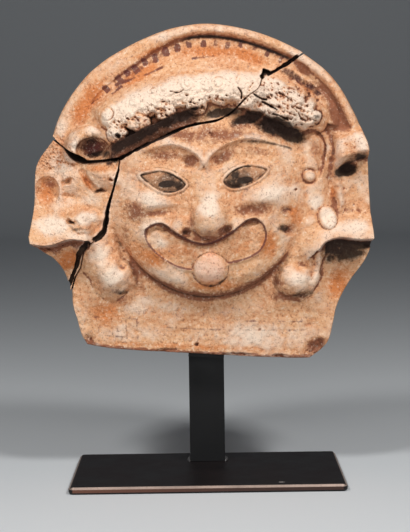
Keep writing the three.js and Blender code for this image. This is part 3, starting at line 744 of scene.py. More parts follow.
# %% The left ear and the locks
def bowl_forms(x, z, depth):
    """The left ear: a thick rim laid round a bowl, the lower half of an ellipsoid."""
    rim = np.where(x < -24, 7.4 * np.sqrt(ridge(x, z, bowl_rim, 4.2)), NOWHERE)
    hollow = dome(x, z, BOWL_MIDDLE, BOWL_RADII)
    depth = higher(depth, rim, 1.2)
    return np.where(hollow > 0, np.minimum(depth, 6.9 - 5.4 * hollow), depth)


def band(x, z, line, start, end, half_width):
    """Half an ellipse across a line, whose height runs evenly from start to end along it."""
    away, _, share = beside(x, z, line, 8)
    return (start + (end - start) * share) * np.sqrt(np.maximum(0, 1 - (away / half_width) ** 2))


def lock_forms(x, z):
    """A band along each lock's line, its knob and its rolled edge, with a worn outline."""
    worn_x, worn_z = wandering(x, z, 1.1, 3.4, (29, 30))
    right = band(worn_x, worn_z, lock_right, 5.4, 4.8, 6.4)
    bands = np.maximum(right, band(worn_x, worn_z, lock_left, 6.0, 4.8, 6.6))
    right_tip = swell(worn_x, worn_z, (26.4, 23.6), (6.2, 5)) ** 0.6
    left_tip = swell(worn_x, worn_z, (-27, 25.6), (6, 6.4)) ** 0.6
    fold = 1.8 * ridge((x + worn_x) / 2, (z + worn_z) / 2, lock_right_fold, 2.5)
    fold += 0.35 * ridge(x, z, lock_left_ring, 1.2)
    hollow = swells(x, z, [((-24.9, 28), (1.9, 1.6), 0, 1.3), ((28.6, 28.4), (3.2, 3), 0, 1.2)])
    return np.where(bands > 0, bands + 2.4 * (right_tip + left_tip) + fold - hollow, NOWHERE)


print(f"the left bowl is {1000 * UNIT * 2 * BOWL_RADII[0]:.0f} mm wide")

# %% [markdown]
# ## Wear
#
# Two thousand years in the ground left their marks in three sizes: a slow unevenness from the hand
# that pressed the clay, chips and pits where grit fell out, and a fine grain. The chips sit where
# the real piece has them: at the corners, on the broken stumps, on the right cheek and along the
# joints, where the edges of the breaks crumbled.

# %% Chips, the hole and the crumbled joints
# A chip has a middle, radii, a turn and a depth. A gouge has a line, its half width at both ends and
# a depth.
chips = [
    ((33.6, 2), (4.6, 4.2), 0.5, 1.5), ((-35, 6), (2.2, 2.4), 0, 1.2), ((-2.8, 4), (0.9, 0.7), 0, 0.9),
    ((25, 38.6), (2.8, 2.2), 0, 1.2), ((31, 9.6), (3.4, 0.6), 0.05, 0.4), ((-12, 2.4), (5, 1), 0, 0.7),
    ((9, 0.8), (6, 0.9), 0, 0.6), ((21, 0.2), (4, 1), 0, 0.7), ((49, 33.6), (2.6, 1.6), 0, 1),
    ((27.1, 50.6), (0.7, 0.5), 0, 1.0), ((2.2, 67.2), (1.2, 0.8), -0.4, 0.6),
    ((24.4, 44.4), (2.2, 1.6), 0, 0.5),
]
hole = around([
    (16.9, 84), (17.6, 85), (18, 86.3), (19, 86.1), (20, 85.6), (20.2, 84.9), (18.5, 83.8), (17.6, 83),
])
gouges = [
    (along([(-32.4, 36.6), (-30, 38.8), (-29.1, 42), (-28.4, 46.4), (-26.6, 52), (-25.2, 57)]),
     1.0, 0.3, 3.4),
    (along([(-40.9, 22.6), (-38.9, 27.6), (-37.4, 32), (-34.6, 35.6)]), 0.5, 1.0, 3.0),
    (edge["under_crown"], 0.62, 0.1, 2.4),
    (along([(19.6, 84.7), (22.4, 86.1), (25.2, 87.8), (28, 89.7)]), 0.5, 0.6, 3.0),
    (along([(17.4, 76.4), (19.4, 75.4), (21.6, 74)]), 0.45, 0.25, 1.6),
    (along([(15, 78.6), (17, 77.4), (18.6, 77)]), 0.35, 0.4, 1.4),
    (along([(22.4, 79.1), (24, 78.2), (26.2, 76.4)]), 0.3, 0.2, 1.1),
    (along([(20.4, 72.9), (22.6, 72.2), (24.8, 71)]), 0.3, 0.35, 1.2),
    (along([(26, 74.8), (27.6, 73.2), (28.6, 71.4)]), 0.25, 0.3, 1.0),
    (along([(10.4, 80.6), (11.4, 79), (11.2, 77.4)]), 0.3, 0.3, 1.2),
    (along([(-9.4, 79.8), (-7, 79.4), (-5.6, 80.2)]), 0.2, 0.25, 0.8),
]
print(len(chips), "chips,", len(gouges), "gouges and a hole beside the crown's end")

# %% Where the clay is broken
def torn_ledges(x, z):
    """The broken stumps and the left piece's top, from 0 to 1."""
    torn = 0.9 * step(55.5, 59, z) * step(-36, -41, x) * step(68, 65, z)
    torn = np.maximum(torn, 0.9 * swell(x, z, (45.4, 62.6), (5.4, 3.6), 0.15) ** 0.5)
    torn = np.maximum(torn, 0.8 * ridge(x, z, shifted(ledge_right, -0.6), 1.9) ** 0.7)
    torn = np.maximum(torn, 0.9 * ridge(x, z, shifted(ledge_left, -0.9), 2.2) ** 0.7 * (x < -35))
    torn = np.maximum(torn, 0.5 * swell(x, z, (-35.4, 44), (5, 5)) + 0.5 * swell(x, z, (-30, 55), (5, 4)))
    torn = np.maximum(torn, 0.7 * ridge(x, z, ridge_right, 2.2) ** 0.7)
    torn = np.maximum(torn, 0.7 * ridge(x, z, shifted(lock_right_fold, -1.6), 1.5) ** 0.7)
    return torn


def brokenness(x, z):
    """How broken the surface is, from 0 to 1: ledges, chips and the split hair."""
    torn = torn_ledges(x, z)
    for middle, radii, turn, _ in chips:
        torn = np.maximum(torn, swell(x, z, middle, radii, turn) ** 0.5)
    return np.maximum(torn, 0.9 * split_off(x, z))


def gouged(x, z):
    """How deep the crumbled edges of the joints and the hole beside the crown are cut."""
    deep = 5.5 * step(-0.1, 0.35, inside_by(x, z, hole, 3))
    for line, start, end, depth in gouges:
        away, _, share = beside(x, z, line, 2)
        half_width = start + (end - start) * share
        ragged = 1 + 0.6 * rough(x, z, 1.9, 44, 3)
        deep = np.maximum(deep, depth * np.maximum(0, 1 - (away / (half_width * ragged)) ** 2) ** 0.7)
    return deep

# %% Wear, and the front as a whole
def wear(x, z, torn):
    """What weather and breaks add to the carved depth: noise at three scales, crumbs where the clay is
    torn, pits, most of all on the nose, chips and gouges."""
    depth = 0.2 * rough(x, z, 14, 31, 3) + 0.16 * rough(x, z, 2.6, 32, 2) + 0.17 * rough(x, z, 1.0, 39, 2)
    torn_pits = 0.6 * crumbs(x, z, 2.6, 34) + 0.5 * pits(x, z, 1.1, 38, 0.6, 0.5)
    depth += torn * (0.6 * rough(x, z, 2.2, 33) - torn_pits)
    depth -= 0.2 * pits(x, z, 3.1, 35, 0.4, 0.22) + 0.16 * pits(x, z, 1.5, 36, 0.35, 0.34)
    depth -= 0.5 * swell(x, z, (2.2, 43.6), (3.6, 2.8)) * pits(x, z, 0.95, 37, 0.8, 0.5)
    for middle, radii, turn, deep in chips:
        depth -= deep * swell(x, z, middle, radii, turn)
    return depth - gouged(x, z)


UNDERSIDE_HEIGHT, UNDERSIDE_FOOT, UNDERSIDE_SLOPE = 4.6, 5.4, 0.8


def overhang(x, z, depth):
    """The hair's underside on the left, a slope that rises out from the break below it."""
    away, side, _ = beside(x, z, edge["under_crown"], 7)
    weight = step(-28, -26.6, x) * step(-6, -12, x) * (side > 0) * (away < UNDERSIDE_HEIGHT)
    slope = UNDERSIDE_FOOT + UNDERSIDE_SLOPE * away
    cut = (np.minimum(depth, slope) - depth) * weight
    return depth + cut + weight * np.maximum(0, slope - depth) * (depth < slope)


def carving(x, z):
    """Depth of the finished front before the ground, in units. The fillet round the face is wider at
    the cheeks than at the chin."""
    soft = 0.6 + 0.9 * step(30, 42, z) + 1.6 * step(-12, -22, x) * step(22, 28, z)
    soft += 1.5 * step(16, 24, x) * step(24, 31, z)
    depth = higher(side_forms(x, z, ground_forms(x, z)), face_forms(x, z), soft)
    depth = higher(depth, lock_forms(x, z), 1.3 + 1.2 * step(26, 33, z))
    depth = overhang(x, z, bowl_forms(x, z, depth))
    depth = higher(depth, hair_forms(x, z), 0.35) + ear_forms(x, z)
    return depth + wear(x, z, brokenness(x, z))


x_test, z_test = np.meshgrid(np.linspace(-50, 50, 101), np.linspace(2, 98, 97))
depth_test = carving(x_test, z_test)
print(f"the carving stands {UNIT * 1000 * depth_test.max():.1f} mm before the ground")

# %% [markdown]
# ## From depth to a closed body
#
# Each clay piece is a patch stretched between its four edges. The patch blends each pair of facing
# edges and takes off the blend of the corners, which both pairs share. The carving moves its points
# forward. At the outline the front rounds over by a worn arris, and from there a wall of several
# rows runs back to a plain rear face. On a break the wall is rough and bowed, and both sides bow the
# same way, so that away from the outline no light comes through a narrow joint. Where clay is lost
# from a joint in front, the two walls come closer together on the way back. The rear face needs no
# fine grid, so it takes every fourth column and row.

# %% Patches
BACK_STEP = 4


def patch(edges, columns, rows):
    """Points of the patch at shares columns and rows: the blends of both pairs of facing edges added
    up, less the blend of the four corners."""
    u, v = columns[None, :, None], rows[:, None, None]
    bottom, top = (paced(edges[name], columns)[None] for name in ("bottom", "top"))
    left, right = (paced(edges[name], rows)[:, None] for name in ("left", "right"))
    low_corners = (1 - u) * (1 - v) * bottom[0, 0] + u * (1 - v) * bottom[0, -1]
    corners = low_corners + (1 - u) * v * top[0, 0] + u * v * top[0, -1]
    points = (1 - v) * bottom + v * top + (1 - u) * left + u * right - corners
    return points[..., 0], points[..., 1]


def crowded(count, *spots):
    """Shares from 0 to 1 in count steps that are closer together near both ends and at each spot, a
    place, a reach and a strength. The shares are the even steps of the summed density."""
    s = np.linspace(0, 1, 2001)
    density = 1 + 2.5 * (bell(s, 0.012) + bell(1 - s, 0.012))
    for place, reach, strength in spots:
        density += strength * bell(s - place, reach)
    run = np.concatenate([[0], np.cumsum((density[1:] + density[:-1]) / 2)])
    return np.interp(np.linspace(0, run[-1], count + 1), run, s)


def border(grid):
    """A grid's border values, anticlockwise from its first corner."""
    return np.concatenate([grid[0, :-1], grid[:-1, -1], grid[-1, :0:-1], grid[:0:-1, 0]])

# %% Walls
WALL_ROWS = 7
ARRIS, BREAK_ARRIS = 0.55, 0.16          # how far the rounded edge reaches in, in units
REAR_ARRIS, REAR_DROP = 1.2, 0.5         # the same behind, and how far the rear curves forward there
BOW = 1.5
CLOSEST, MOST_CLOSING = 0.12, 1.5
BOX_MARGIN = 0.00001


def torn_edges(x, z):
    """1 where an outline point lies on one of the breaks, 0 on the moulded outline."""
    torn = np.zeros(x.shape)
    for name in breaks:
        torn = np.maximum(torn, step(0.7, 0.35, beside(x, z, edge[name], 3)[0]))
    return torn


def outward(x, z):
    """Unit normals of a closed border that runs anticlockwise, pointing out of it."""
    run_x, run_z = np.roll(x, -1) - np.roll(x, 1), np.roll(z, -1) - np.roll(z, 1)
    length = np.hypot(run_x, run_z)
    return run_z / length, -run_x / length


def wall_offset(x, z, normal_x, normal_z, torn, inland, gap, share):
    """Sideways move of a wall point at a share of the way back: the bow of a break, which depends on
    the place alone so that both sides agree, the roughness of the clay, and half the gap to the next
    piece."""
    window = np.sin(np.pi * share)
    bow = BOW * window * torn * inland
    noise = rough(x + 9 * share, z - 7 * share, 2.6, 51)
    grit = window * (0.2 * noise * torn * inland - 0.15 * np.abs(noise) * (1 - torn * inland))
    behind = step(0.3, 0.55, share) * step(1, 0.75, share)
    closing = np.clip(gap / 2 - CLOSEST, 0, MOST_CLOSING) * torn * behind
    return -0.35 * bow + normal_x * (grit + closing), 0.94 * bow + normal_z * (grit + closing)

# %% The closed body
def clay_body(name, edges, columns, rows, others):
    """Front grid, walls and rear grid of one clay piece, as one closed mesh. Given back with it are
    the grid's x, z and depth, the border's x, z, depth and how far it is a break, and the rear's
    points."""
    x, z = patch(edges, columns, rows)
    depth = carving(x, z)
    bx, bz = border(x), border(z)
    outline_line = np.stack([bx, bz], axis=1)[::2]
    inner = beside(x, z, outline_line, 1.2, closed=True)[0]
    torn = torn_edges(x, z)
    arris = (ARRIS * (1 + 0.5 * lattice_noise(x, z, 5, 41)) * (1 - torn)
             + torn * BREAK_ARRIS * (1 + 2.2 * np.maximum(0, rough(x, z, 2.2, 42))))
    into = np.clip(inner / arris, 0, 1)
    depth = depth - arris * (1 - np.sqrt(1 - (1 - into) ** 2))

    back = -PLAQUE_THICKNESS / UNIT
    border_torn, border_depth = torn_edges(bx, bz), border(depth)
    gap = np.minimum.reduce([beside(bx, bz, line, 4)[0] for line in others])
    gap = np.where(gap > 4, 0, gap)
    from_outline = np.minimum.reduce([beside(bx, bz, edge[line], 6)[0] for line in outline])
    inland = step(0.3, 5, from_outline)
    normal_x, normal_z = outward(bx, bz)
    walls = []
    for k in range(1, WALL_ROWS + 1):
        share = k / (WALL_ROWS + 1)
        dx, dz = wall_offset(bx, bz, normal_x, normal_z, border_torn, inland, gap, share)
        walls.append(np.stack([bx + dx, bz + dz, border_depth + (back - border_depth) * share], axis=1))

    xr, zr = x[::BACK_STEP, ::BACK_STEP], z[::BACK_STEP, ::BACK_STEP]
    rear_inner = beside(xr, zr, outline_line, 1.6, closed=True)[0]
    rear_into = np.clip(rear_inner / REAR_ARRIS, 0, 1)
    unevenness = 0.28 * rough(xr, zr, 16, 61, 3) + 0.1 * rough(xr, zr, 4, 62, 2)
    drop = REAR_DROP * (1 - np.sqrt(1 - (1 - rear_into) ** 2))
    rear = back + drop + np.maximum(0, unevenness) * rear_into

    front_points = np.stack([x, z, depth], axis=2).reshape(-1, 3)
    rear_points = np.stack([xr, zr, rear], axis=2).reshape(-1, 3)
    co = np.concatenate([front_points, *walls, rear_points])
    free = np.stack([co[:, 0] * UNIT, GROUND_Y - co[:, 2] * UNIT, ZERO_Z + co[:, 1] * UNIT], axis=1)
    low, high = (np.array(corner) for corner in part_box(name.replace("body", "fragment")))
    verts = np.clip(free, low + BOX_MARGIN, high - BOX_MARGIN)
    print(f"{name}: kept in its solid's box by {1000 * np.abs(verts - free).max(axis=0).round(5)} mm")
    quads, triangles = body_faces(x.shape)
    mesh = bpy.data.meshes.new(name)
    mesh.from_pydata(verts.tolist(), [], quads.tolist() + triangles.tolist())
    mesh.shade_smooth()
    piece = bpy.data.objects.new(name, mesh)
    bpy.context.scene.collection.objects.link(piece)
    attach(piece, "root")
    print(f"{name}: {len(verts)} points, {2 * len(quads) + len(triangles)} triangles")
    return piece, (x, z, depth), (bx, bz, border_depth, border_torn), rear_points


def body_faces(shape):
    """The faces of a body: quads of the front grid, of each wall ring and of the rear grid, and the
    triangles that join the fine last ring to the coarse rear border."""
    index = np.arange(shape[0] * shape[1]).reshape(shape)
    front = np.stack([index[:-1, :-1], index[:-1, 1:], index[1:, 1:], index[1:, :-1]], axis=2)
    ring = border(index)
    rings = [ring] + [index.size + k * len(ring) + np.arange(len(ring)) for k in range(WALL_ROWS)]
    sides = [np.stack([a, b, np.roll(b, -1), np.roll(a, -1)], axis=1) for a, b in zip(rings[:-1], rings[1:])]
    rear_shape = index[::BACK_STEP, ::BACK_STEP].shape
    rear = index.size + WALL_ROWS * len(ring) + np.arange(rear_shape[0] * rear_shape[1]).reshape(rear_shape)
    rear_ring = border(rear)
    last, after, next_rear = rings[-1], np.roll(rings[-1], -1), np.roll(rear_ring, -1)
    fans = []
    for k in range(BACK_STEP):
        point = rear_ring if k < BACK_STEP // 2 else next_rear
        fans.append(np.stack([last[k::BACK_STEP], point, after[k::BACK_STEP]], axis=1))
    bridge = np.stack([last[BACK_STEP // 2::BACK_STEP], rear_ring, next_rear], axis=1)
    rear_faces = np.stack([rear[:-1, :-1], rear[1:, :-1], rear[1:, 1:], rear[:-1, 1:]], axis=2)
    quads = np.concatenate([front.reshape(-1, 4), *sides, rear_faces.reshape(-1, 4)])
    return quads, np.concatenate([*fans, bridge])


def loop_of(edges):
    """The four edges of a piece as one closed line."""
    return np.concatenate([edges["bottom"], edges["right"], edges["top"][::-1], edges["left"][::-1]])


mask_loop, crown_loop, left_loop = (loop_of(edges) for edges in (mask_edges, crown_edges, left_edges))
mask_columns = crowded(288, (0.5, 0.3, 0.3))
mask_rows = crowded(288, (0.8, 0.14, 0.7), (0.42, 0.12, 0.3))
clay = {
    "mask": clay_body("mask_body", mask_edges, mask_columns, mask_rows, [crown_loop, left_loop]),
    "crown": clay_body("crown_body", crown_edges, crowded(460), crowded(156), [mask_loop, left_loop]),
    "left": clay_body("left_body", left_edges, crowded(216), crowded(288), [mask_loop, crown_loop]),
}
for short, body in clay.items():
    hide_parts(f"{short}_fragment")

# %% [markdown]
# ## Where slip, paint, dirt and painted light lie
#
# The colours of old terracotta lie in layers. The fired clay is buff to orange. Cream slip survives
# on what stands out and was rubbed least, dirt and brown stain keep to what is hollow, and traces of
# dark paint mark the moulding, the eyes and the lips. Light and shade are painted in as well: a
# painted highlight on what stands out, painted shade in what is hollow, and painted shadows under
# the hair, the nose, the ledges, the knobs and the jaw. So each layer gets a map over the surface, a
# number from 0 to 1 at every point. It comes from two things: soft spots and lines where the layer
# shows on the real piece, and how hollow the surface is there, which is the depth of a blurred copy
# of the surface less its own depth.

# %% Hollowness
def blurred(grid, cells):
    """A grid averaged over a square of 2 cells + 1 on each side, by differences of running sums."""
    size = 2 * cells + 1
    padded = np.pad(grid, ((cells + 1, cells), (cells + 1, cells)), mode="edge")
    sums = np.cumsum(np.cumsum(padded, axis=0), axis=1)
    return (sums[size:, size:] - sums[:-size, size:] - sums[size:, :-size] + sums[:-size, :-size]) / size**2


def hollowness(depth, cells):
    """How far a surface lies below the mean of its surroundings, blurred twice for a soft edge."""
    return blurred(blurred(depth, cells), cells) - depth

# %% Where each layer lies
# A spot has a middle, radii, a turn and a strength. An iris has a middle, radii and those of its pupil.
ticks = [
    (-28.5, 81), (-24.6, 83.8), (-22.4, 85.8), (-19.8, 86.7), (-17, 88.8), (-13.8, 89.8), (-10.7, 91.6),
    (-7.2, 92.6), (-3.8, 93.6), (0.4, 93.9), (4, 94), (7.7, 93.4), (11.5, 93.7), (15.6, 92.6), (19.5, 91),
    (23.3, 89),
]
TICK_RADII, TICK_CENTRE = (0.85, 1.25), 52
thin_lines = [
    along([(-25.6, 82.2), (-21.6, 83.4), (-17.6, 84.7), (-14.6, 85.8), (-11.6, 87.2), (-8, 88)]),
    along([(-2.8, 89.5), (0, 89.8), (3.4, 90.2)]),
    along([(-26.6, 79.6), (-24, 81.6)]),
]
band_lines = [along(points) for points in (
    [(-33.4, 12.8), (-27, 12.4), (-20.6, 12.2)], [(-33, 12.8), (-32, 7.4)], [(-28.4, 12.5), (-28, 6.6)],
    [(-24, 12.3), (-23.8, 6.4)], [(-20.8, 12.2), (-20.6, 6)], [(-32, 7.4), (-24, 6.6)],
    [(-12, 9.4), (2, 8.6), (16, 8.2), (30, 8)], [(4, 11.4), (18, 10.8), (29, 10.6)],
)]
dark_band = along([(24.2, 85.6), (27.6, 83.8), (30.6, 81.6), (34.2, 79)])
brow_grey = along([(13, 65), (17, 64.8), (21, 64), (25.8, 62.7)])
# Cream spots: slip, and painted highlight on the nose, on the cheeks under the eyes and on the knobs of the
# locks.
slip_and_highlight_spots = [
    ((-20, 77), (9, 7), 0.35, 0.9), ((-6, 80.5), (12, 6.4), 0.2, 1), ((8, 81.5), (13, 5.5), 0, 1),
    ((24, 79.5), (12, 3.4), -0.45, 0.8), ((-32, 69.6), (5, 3), 0.3, 0.9),
    ((-37.6, 64.6), (1.8, 3.6), -0.3, 0.7), ((44, 66), (5.5, 2.6), 0.1, 0.9),
    ((40, 64), (4.6, 4), 0, 0.7), ((-45, 40.6), (7.6, 4.6), 0, 1.4), ((-36, 38.4), (7, 2), -0.1, 0.7),
    ((43, 39.2), (7.4, 3), 0, 0.4), ((46, 45), (5, 12), 0, 0.6), ((36.8, 42.2), (3, 4), 0, 1.1),
    ((33.6, 46.5), (3.4, 3.4), 0, 0.7), ((-35, 42.8), (4.6, 2.8), 0, 1.4), ((-34, 48), (5.4, 3), 0, 0.6),
    ((1.4, 46.8), (4.6, 4.8), 0, 1.1), ((-12.6, 34.6), (4.4, 5), 0.5, 0.7),
    ((26.6, 24), (4.4, 2.8), 0, 1), ((-27.4, 25.8), (4, 3.4), 0.3, 1.1), ((-31.2, 32), (4, 5), 0.3, 0.6),
    ((14.6, 35.8), (2.8, 4.2), 0, 0.7), ((-16, 48.6), (8, 3.2), 0, 0.45), ((22, 50.4), (8, 3.4), 0, 0.45),
    ((1.6, 27), (6, 6), 0, 0.75), ((12, 6.4), (28, 6), -0.02, 0.5), ((-20, 8), (14, 5), 0, 0.45),
    ((-12, 49.4), (9, 4), 0, 0.25), ((17, 50), (9, 4), 0, 0.2), ((-41, 58), (9, 5), 0, 0.9),
    ((-40, 50), (9, 8), 0, 0.5), ((-42, 70), (3, 5), 0.2, 0.5), ((29, 50), (5, 4), 0, 0.5),
    ((38, 66), (3, 6), 0, 0.7), ((46.6, 63), (3.4, 2.6), 0, 0.6), ((-2, 15), (34, 6), 0, 0.55),
    ((30, 86.6), (12, 1.6), -0.85, 0.5), ((-26, 45), (3, 6), 0, 0.3),
]
ochre_spots = [
    ((-18, 85.6), (12, 2.8), 0.5, 1), ((0, 91.4), (12, 2.8), 0, 1.1), ((14, 90), (10, 3), -0.35, 1),
    ((-33, 78), (9, 4.6), 0.95, 0.75), ((-36, 73.6), (4, 5), 0, 1.1), ((-14, 92), (10, 1.4), 0.35, 0.8),
    ((31, 80.6), (7, 2.2), -0.7, 0.9), ((27, 43), (4, 5.6), 0.2, 0.9), ((-20, 33), (5, 4.4), 0, 0.8),
    ((19, 34), (4.4, 6), 0, 0.7), ((-47, 50.6), (4, 6), 0, 0.7), ((-30.6, 57.6), (5, 1.6), 0, 0.7),
    ((-34.6, 53.6), (1.6, 3.6), 0.5, 0.8), ((38.4, 49), (1.6, 4), 0, 0.9), ((3, 14), (32, 7), 0, 0.2),
    ((-30, 14), (7, 7), 0, 0.6), ((40, 22), (5, 8), -0.4, 0.8), ((-41, 30), (6, 4), 0.6, 0.9),
    ((-14.6, 30.6), (8, 4.6), 0.4, 0.9), ((2, 22.6), (14, 3), 0, 0.8), ((2, 3), (34, 1.6), -0.06, 0.5),
    ((-24, 4.4), (8, 1.2), 0, 0.6), ((-6, 33), (6, 3.4), 0, 0.5), ((10, 34), (6, 5), 0, 0.4),
]
# Brown spots: stains, and painted shade in the eye sockets and under the brows, in the folds beside the
# mouth, beside and under the nose, under the hair, under the knobs of the locks and in both ears.
stain_and_shade_spots = [
    ((-3.9, 59.3), (3.6, 3), 0, 1.0), ((-11, 61), (9, 2.4), 0, 0.8), ((6, 60.6), (6, 3), 0.5, 0.8),
    ((16, 62), (9, 2.4), -0.1, 0.6), ((-20.4, 45), (6, 4.6), 0.2, 1.15),
    ((-13, 44.4), (5.6, 1.5), 0.1, 1), ((14.6, 45), (8.4, 3.8), 0.05, 0.9),
    ((23.6, 44.4), (2.4, 2.8), 0, 0.9), ((0.8, 38.2), (6.4, 3), 0, 0.55),
    ((-4, 41.4), (3, 3.4), 0.4, 0.6), ((6, 39), (3, 2.6), 0.6, 1.4), ((-5.6, 38.6), (2.2, 2.4), 0.3, 1.2),
    ((0.4, 36.6), (7, 1.4), 0, 1.2), ((22, 67.6), (10, 4.2), -0.35, 0.7),
    ((13, 71.2), (7.4, 3), 0.3, 0.6), ((23, 18.4), (5.4, 3), 0.1, 0.8), ((-23.4, 38), (2.6, 4.6), 0, 0.6),
    ((33, 3), (4.6, 3.6), 0.5, 1.4), ((37.6, 77.4), (8.6, 4), -1.05, 0.9),
    ((40.6, 70.6), (7, 4), -1.1, 1.1), ((30, 86), (4, 2.2), -0.7, 1.3), ((-35, 5), (2.4, 2.4), 0, 0.8),
    ((-46, 53), (3.6, 2.4), 0, 0.9), ((22, 23), (3.4, 3), 0, 0.7), ((-19, 21), (5, 3), -0.5, 0.5),
    ((28.6, 18.6), (4.6, 2), 0, 0.8), ((-25, 18), (3.4, 2.2), 0, 0.8), ((33, 62.6), (3, 4), 0, 0.6),
    ((26, 49), (5, 2.4), 0, 0.4), ((24.6, 39.4), (3.6, 2.6), 0, 0.9), ((31, 36), (3, 4), 0, 0.5),
    ((-16, 57.8), (6, 1.6), 0, 0.3), ((-22.6, 91), (6, 1.2), 0.5, 0.4),
    ((4, 67.6), (28, 6.6), 0.05, 0.42), ((-14, 62.6), (10, 4), -0.1, 0.3),
    ((-32.4, 63.4), (6, 4.4), 0.1, 1.2), ((-27.6, 58.6), (2, 1), 0, 0.6), ((37.4, 54), (2.2, 6), 0, 0.4),
]
irises = [
    ((-11, 53.6), (2.5, 2.2), (-10.8, 52.9), (2.6, 1.05)), ((11.6, 54.5), (2.5, 2.2), (12, 53.7), (2.5, 1.0)),
]
# Near black spots, mostly painted shadow: under the hair, in the hollows under the right block and ledge, at
# the nostrils, under the left lump, under the knobs of the locks and in the left bowl. A few are dark pits
# and holes.
shadow_and_soot_spots = [
    ((23, 68.4), (8, 2.8), -0.35, 1.3), ((13, 71.6), (5.4, 1.9), 0.35, 1.1),
    ((42.6, 56), (3.4, 2), 0.2, 1.4), ((45.4, 59.6), (4, 1.5), 0.2, 0.7),
    ((41.8, 31.8), (7.4, 3.6), 0.1, 1.15), ((6, 73.3), (7, 1.4), 0.15, 0.9),
    ((32.6, 71.5), (1.1, 0.9), 0, 0.5), ((23.4, 39.2), (1.5, 1.6), 0, 0.7),
    ((6, 38.9), (1.8, 1.2), 0.5, 0.55), ((-5.6, 38.8), (1.2, 1.1), 0.3, 0.5),
    ((-39.0, 41.6), (1.6, 0.7), -0.15, 0.9), ((-36.2, 39.4), (3, 0.7), 0.1, 0.5),
    ((-30.8, 51.2), (1.6, 0.8), 0.15, 0.55), ((-40.8, 53.8), (1.2, 0.7), 0, 0.35),
    ((-34.4, 65.2), (4.4, 2), 0.3, 0.6), ((-31, 61.8), (5.4, 1.2), 0, 0.6),
    ((29, 19.4), (4, 0.9), 0.15, 0.6), ((-25.6, 20.2), (3.4, 0.9), -0.1, 0.55),
    ((-24.6, 67), (0.9, 0.7), 0, 0.8), ((-2.8, 74.6), (1.6, 0.6), 0, 0.8),
]
# Violet spots: paint, and painted shade in the left bowl.
violet_spots = [
    ((-22, 46.6), (4.6, 3.4), 0, 0.5), ((25, 49), (5, 2.2), 0.2, 0.3), ((-28, 10), (7, 3.6), 0, 0.25),
    ((30.6, 4), (2, 2), 0, 0.4), ((-32.4, 63.4), (6, 4.4), 0.1, 1.0), ((-36.4, 22), (2, 5), 0.2, 0.2),
    ((-27, 21.2), (3.4, 1), 0, 0.6),
]


calm_spots = [
    ((22, 24), (7, 9), 0, 1.6), ((-24.6, 35), (6, 9), 0.3, 1.6), ((-16, 22), (6, 6), 0, 0.8),
    ((27, 35), (6, 8), 0, 1.4), ((1.6, 32), (6.4, 3.4), 0, 1.5), ((-3.6, 42.6), (3, 4), 0, 1.2),
]
print("spots of slip, ochre, stain, soot and violet:",
      [len(spots) for spots in (slip_and_highlight_spots, ochre_spots, stain_and_shade_spots, shadow_and_soot_spots, violet_spots)])

# %% Places that several maps share
def lines_map(x, z, lines, half_width):
    """The soft ridge of several lines, the highest at each point."""
    return np.maximum.reduce([ridge(x, z, line, half_width) for line in lines])


def spots_map(x, z, spots, seed):
    """Soft spots with a ragged edge, from 0 to 1."""
    ragged = 0.75 + 0.5 * rough(x, z, 5, seed)
    return np.clip(swells(x, z, spots) * ragged, 0, 1)


def under_line(x, z, line):
    """Distance below a ledge's line, and FAR above it."""
    away, side, _ = beside(x, z, line, 4)
    return np.where(side < 0, away, FAR)


def jaw_shadow(x, z):
    """The band close round the chin and the lower cheeks, where shade is painted."""
    band_round = bell(face_reach(x, z) - 0.975, 0.055) * step(40, 33, z)
    below_mouth = 0.15 + 0.85 * step(-22, -10, x) * step(27, 17, x)
    return band_round * below_mouth * (0.8 + 0.5 * rough(x, z, 3, 94, 3))


def places(x, z, depth):
    """Where the front is hair, its lower row and split hair, and where shade is painted on the hair's
    underside and round the jaw, from 0 to 1, with the distances from the roll and from the break under
    the crown."""
    hair = step(7.2, 9, depth) * step(63, 68, z) + 0.8 * swell(x, z, (20, 79.5), (16, 6), -0.4) ** 0.5
    hair = np.clip(hair, 0, 1)
    split = split_off(x, z)
    from_hair, hair_side, _ = beside(x, z, hair_line, 7)
    from_break, break_side, _ = beside(x, z, edge["under_crown"], 7)
    ragged = wandering(x, z, 1.1, 3.6, (84, 86))
    along_break = step(-29.5, -26, ragged[0]) * step(2, -6, ragged[0])
    return {
        "hair": hair, "split": split, "ragged": ragged, "from_break": from_break,
        "low_row": (hair_side < 0) * step(0.5, 3, from_hair) * hair * (1 - 0.6 * split),
        "painted_hair_shade": along_break * (break_side > 0) * step(5.8, 4.0, from_break),
        "under_jaw": jaw_shadow(x, z), "from_roll": beside(x, z, rim_line, 12)[0] - roll_width(x, z),
    }

# %% Stain, slip and soot, with painted shade and painted highlight
def stain_and_shade_in_hollows(x, z, at, wide, fine):
    """Brown at its spots, partly stains and partly painted shade, in hollows except the calm places, partly
    dirt and partly painted shade, and painted shade round the jaw and in the groove beside the roll.
    """
    calm = 1 - 0.85 * np.clip(swells(x, z, calm_spots), 0, 1)
    stain_and_shade = calm * (0.6 * step(0.4, 1.8, wide) + 0.9 * step(0.12, 0.5, fine))
    painted_roll_shade = bell(at["from_roll"], 0.9) * step(-30, -22, x) * step(34, 26, x)
    return spots_map(x, z, stain_and_shade_spots, 75) + stain_and_shade + 1.1 * at["under_jaw"] + 0.8 * painted_roll_shade


def stain_and_shade_at_edges(x, z, at):
    """Staining at the foot and on the hair's lower row, and painted shade under the ledges and under the
    hair.
    """
    foot = beside(x, z, edge["foot"], 3)[0]
    stain_and_shade = 0.8 * at["painted_hair_shade"] + 0.9 * step(1.5, 0.5, foot + 0.6 * rough(x, z, 2.4, 90, 3))
    under_left = step(3.8, 1.4, under_line(x, z, ledge_left) + 1.4 * rough(x, z, 1.6, 91, 3))
    under_right = step(1.8, 0.8, under_line(x, z, ledge_right) + rough(x, z, 1.2, 92, 3))
    stain_and_shade += 1.1 * under_left * (x < -34) + 0.8 * under_right
    return stain_and_shade + at["low_row"] * (0.25 + 0.6 * rough(x, z, 1.6, 97, 3))


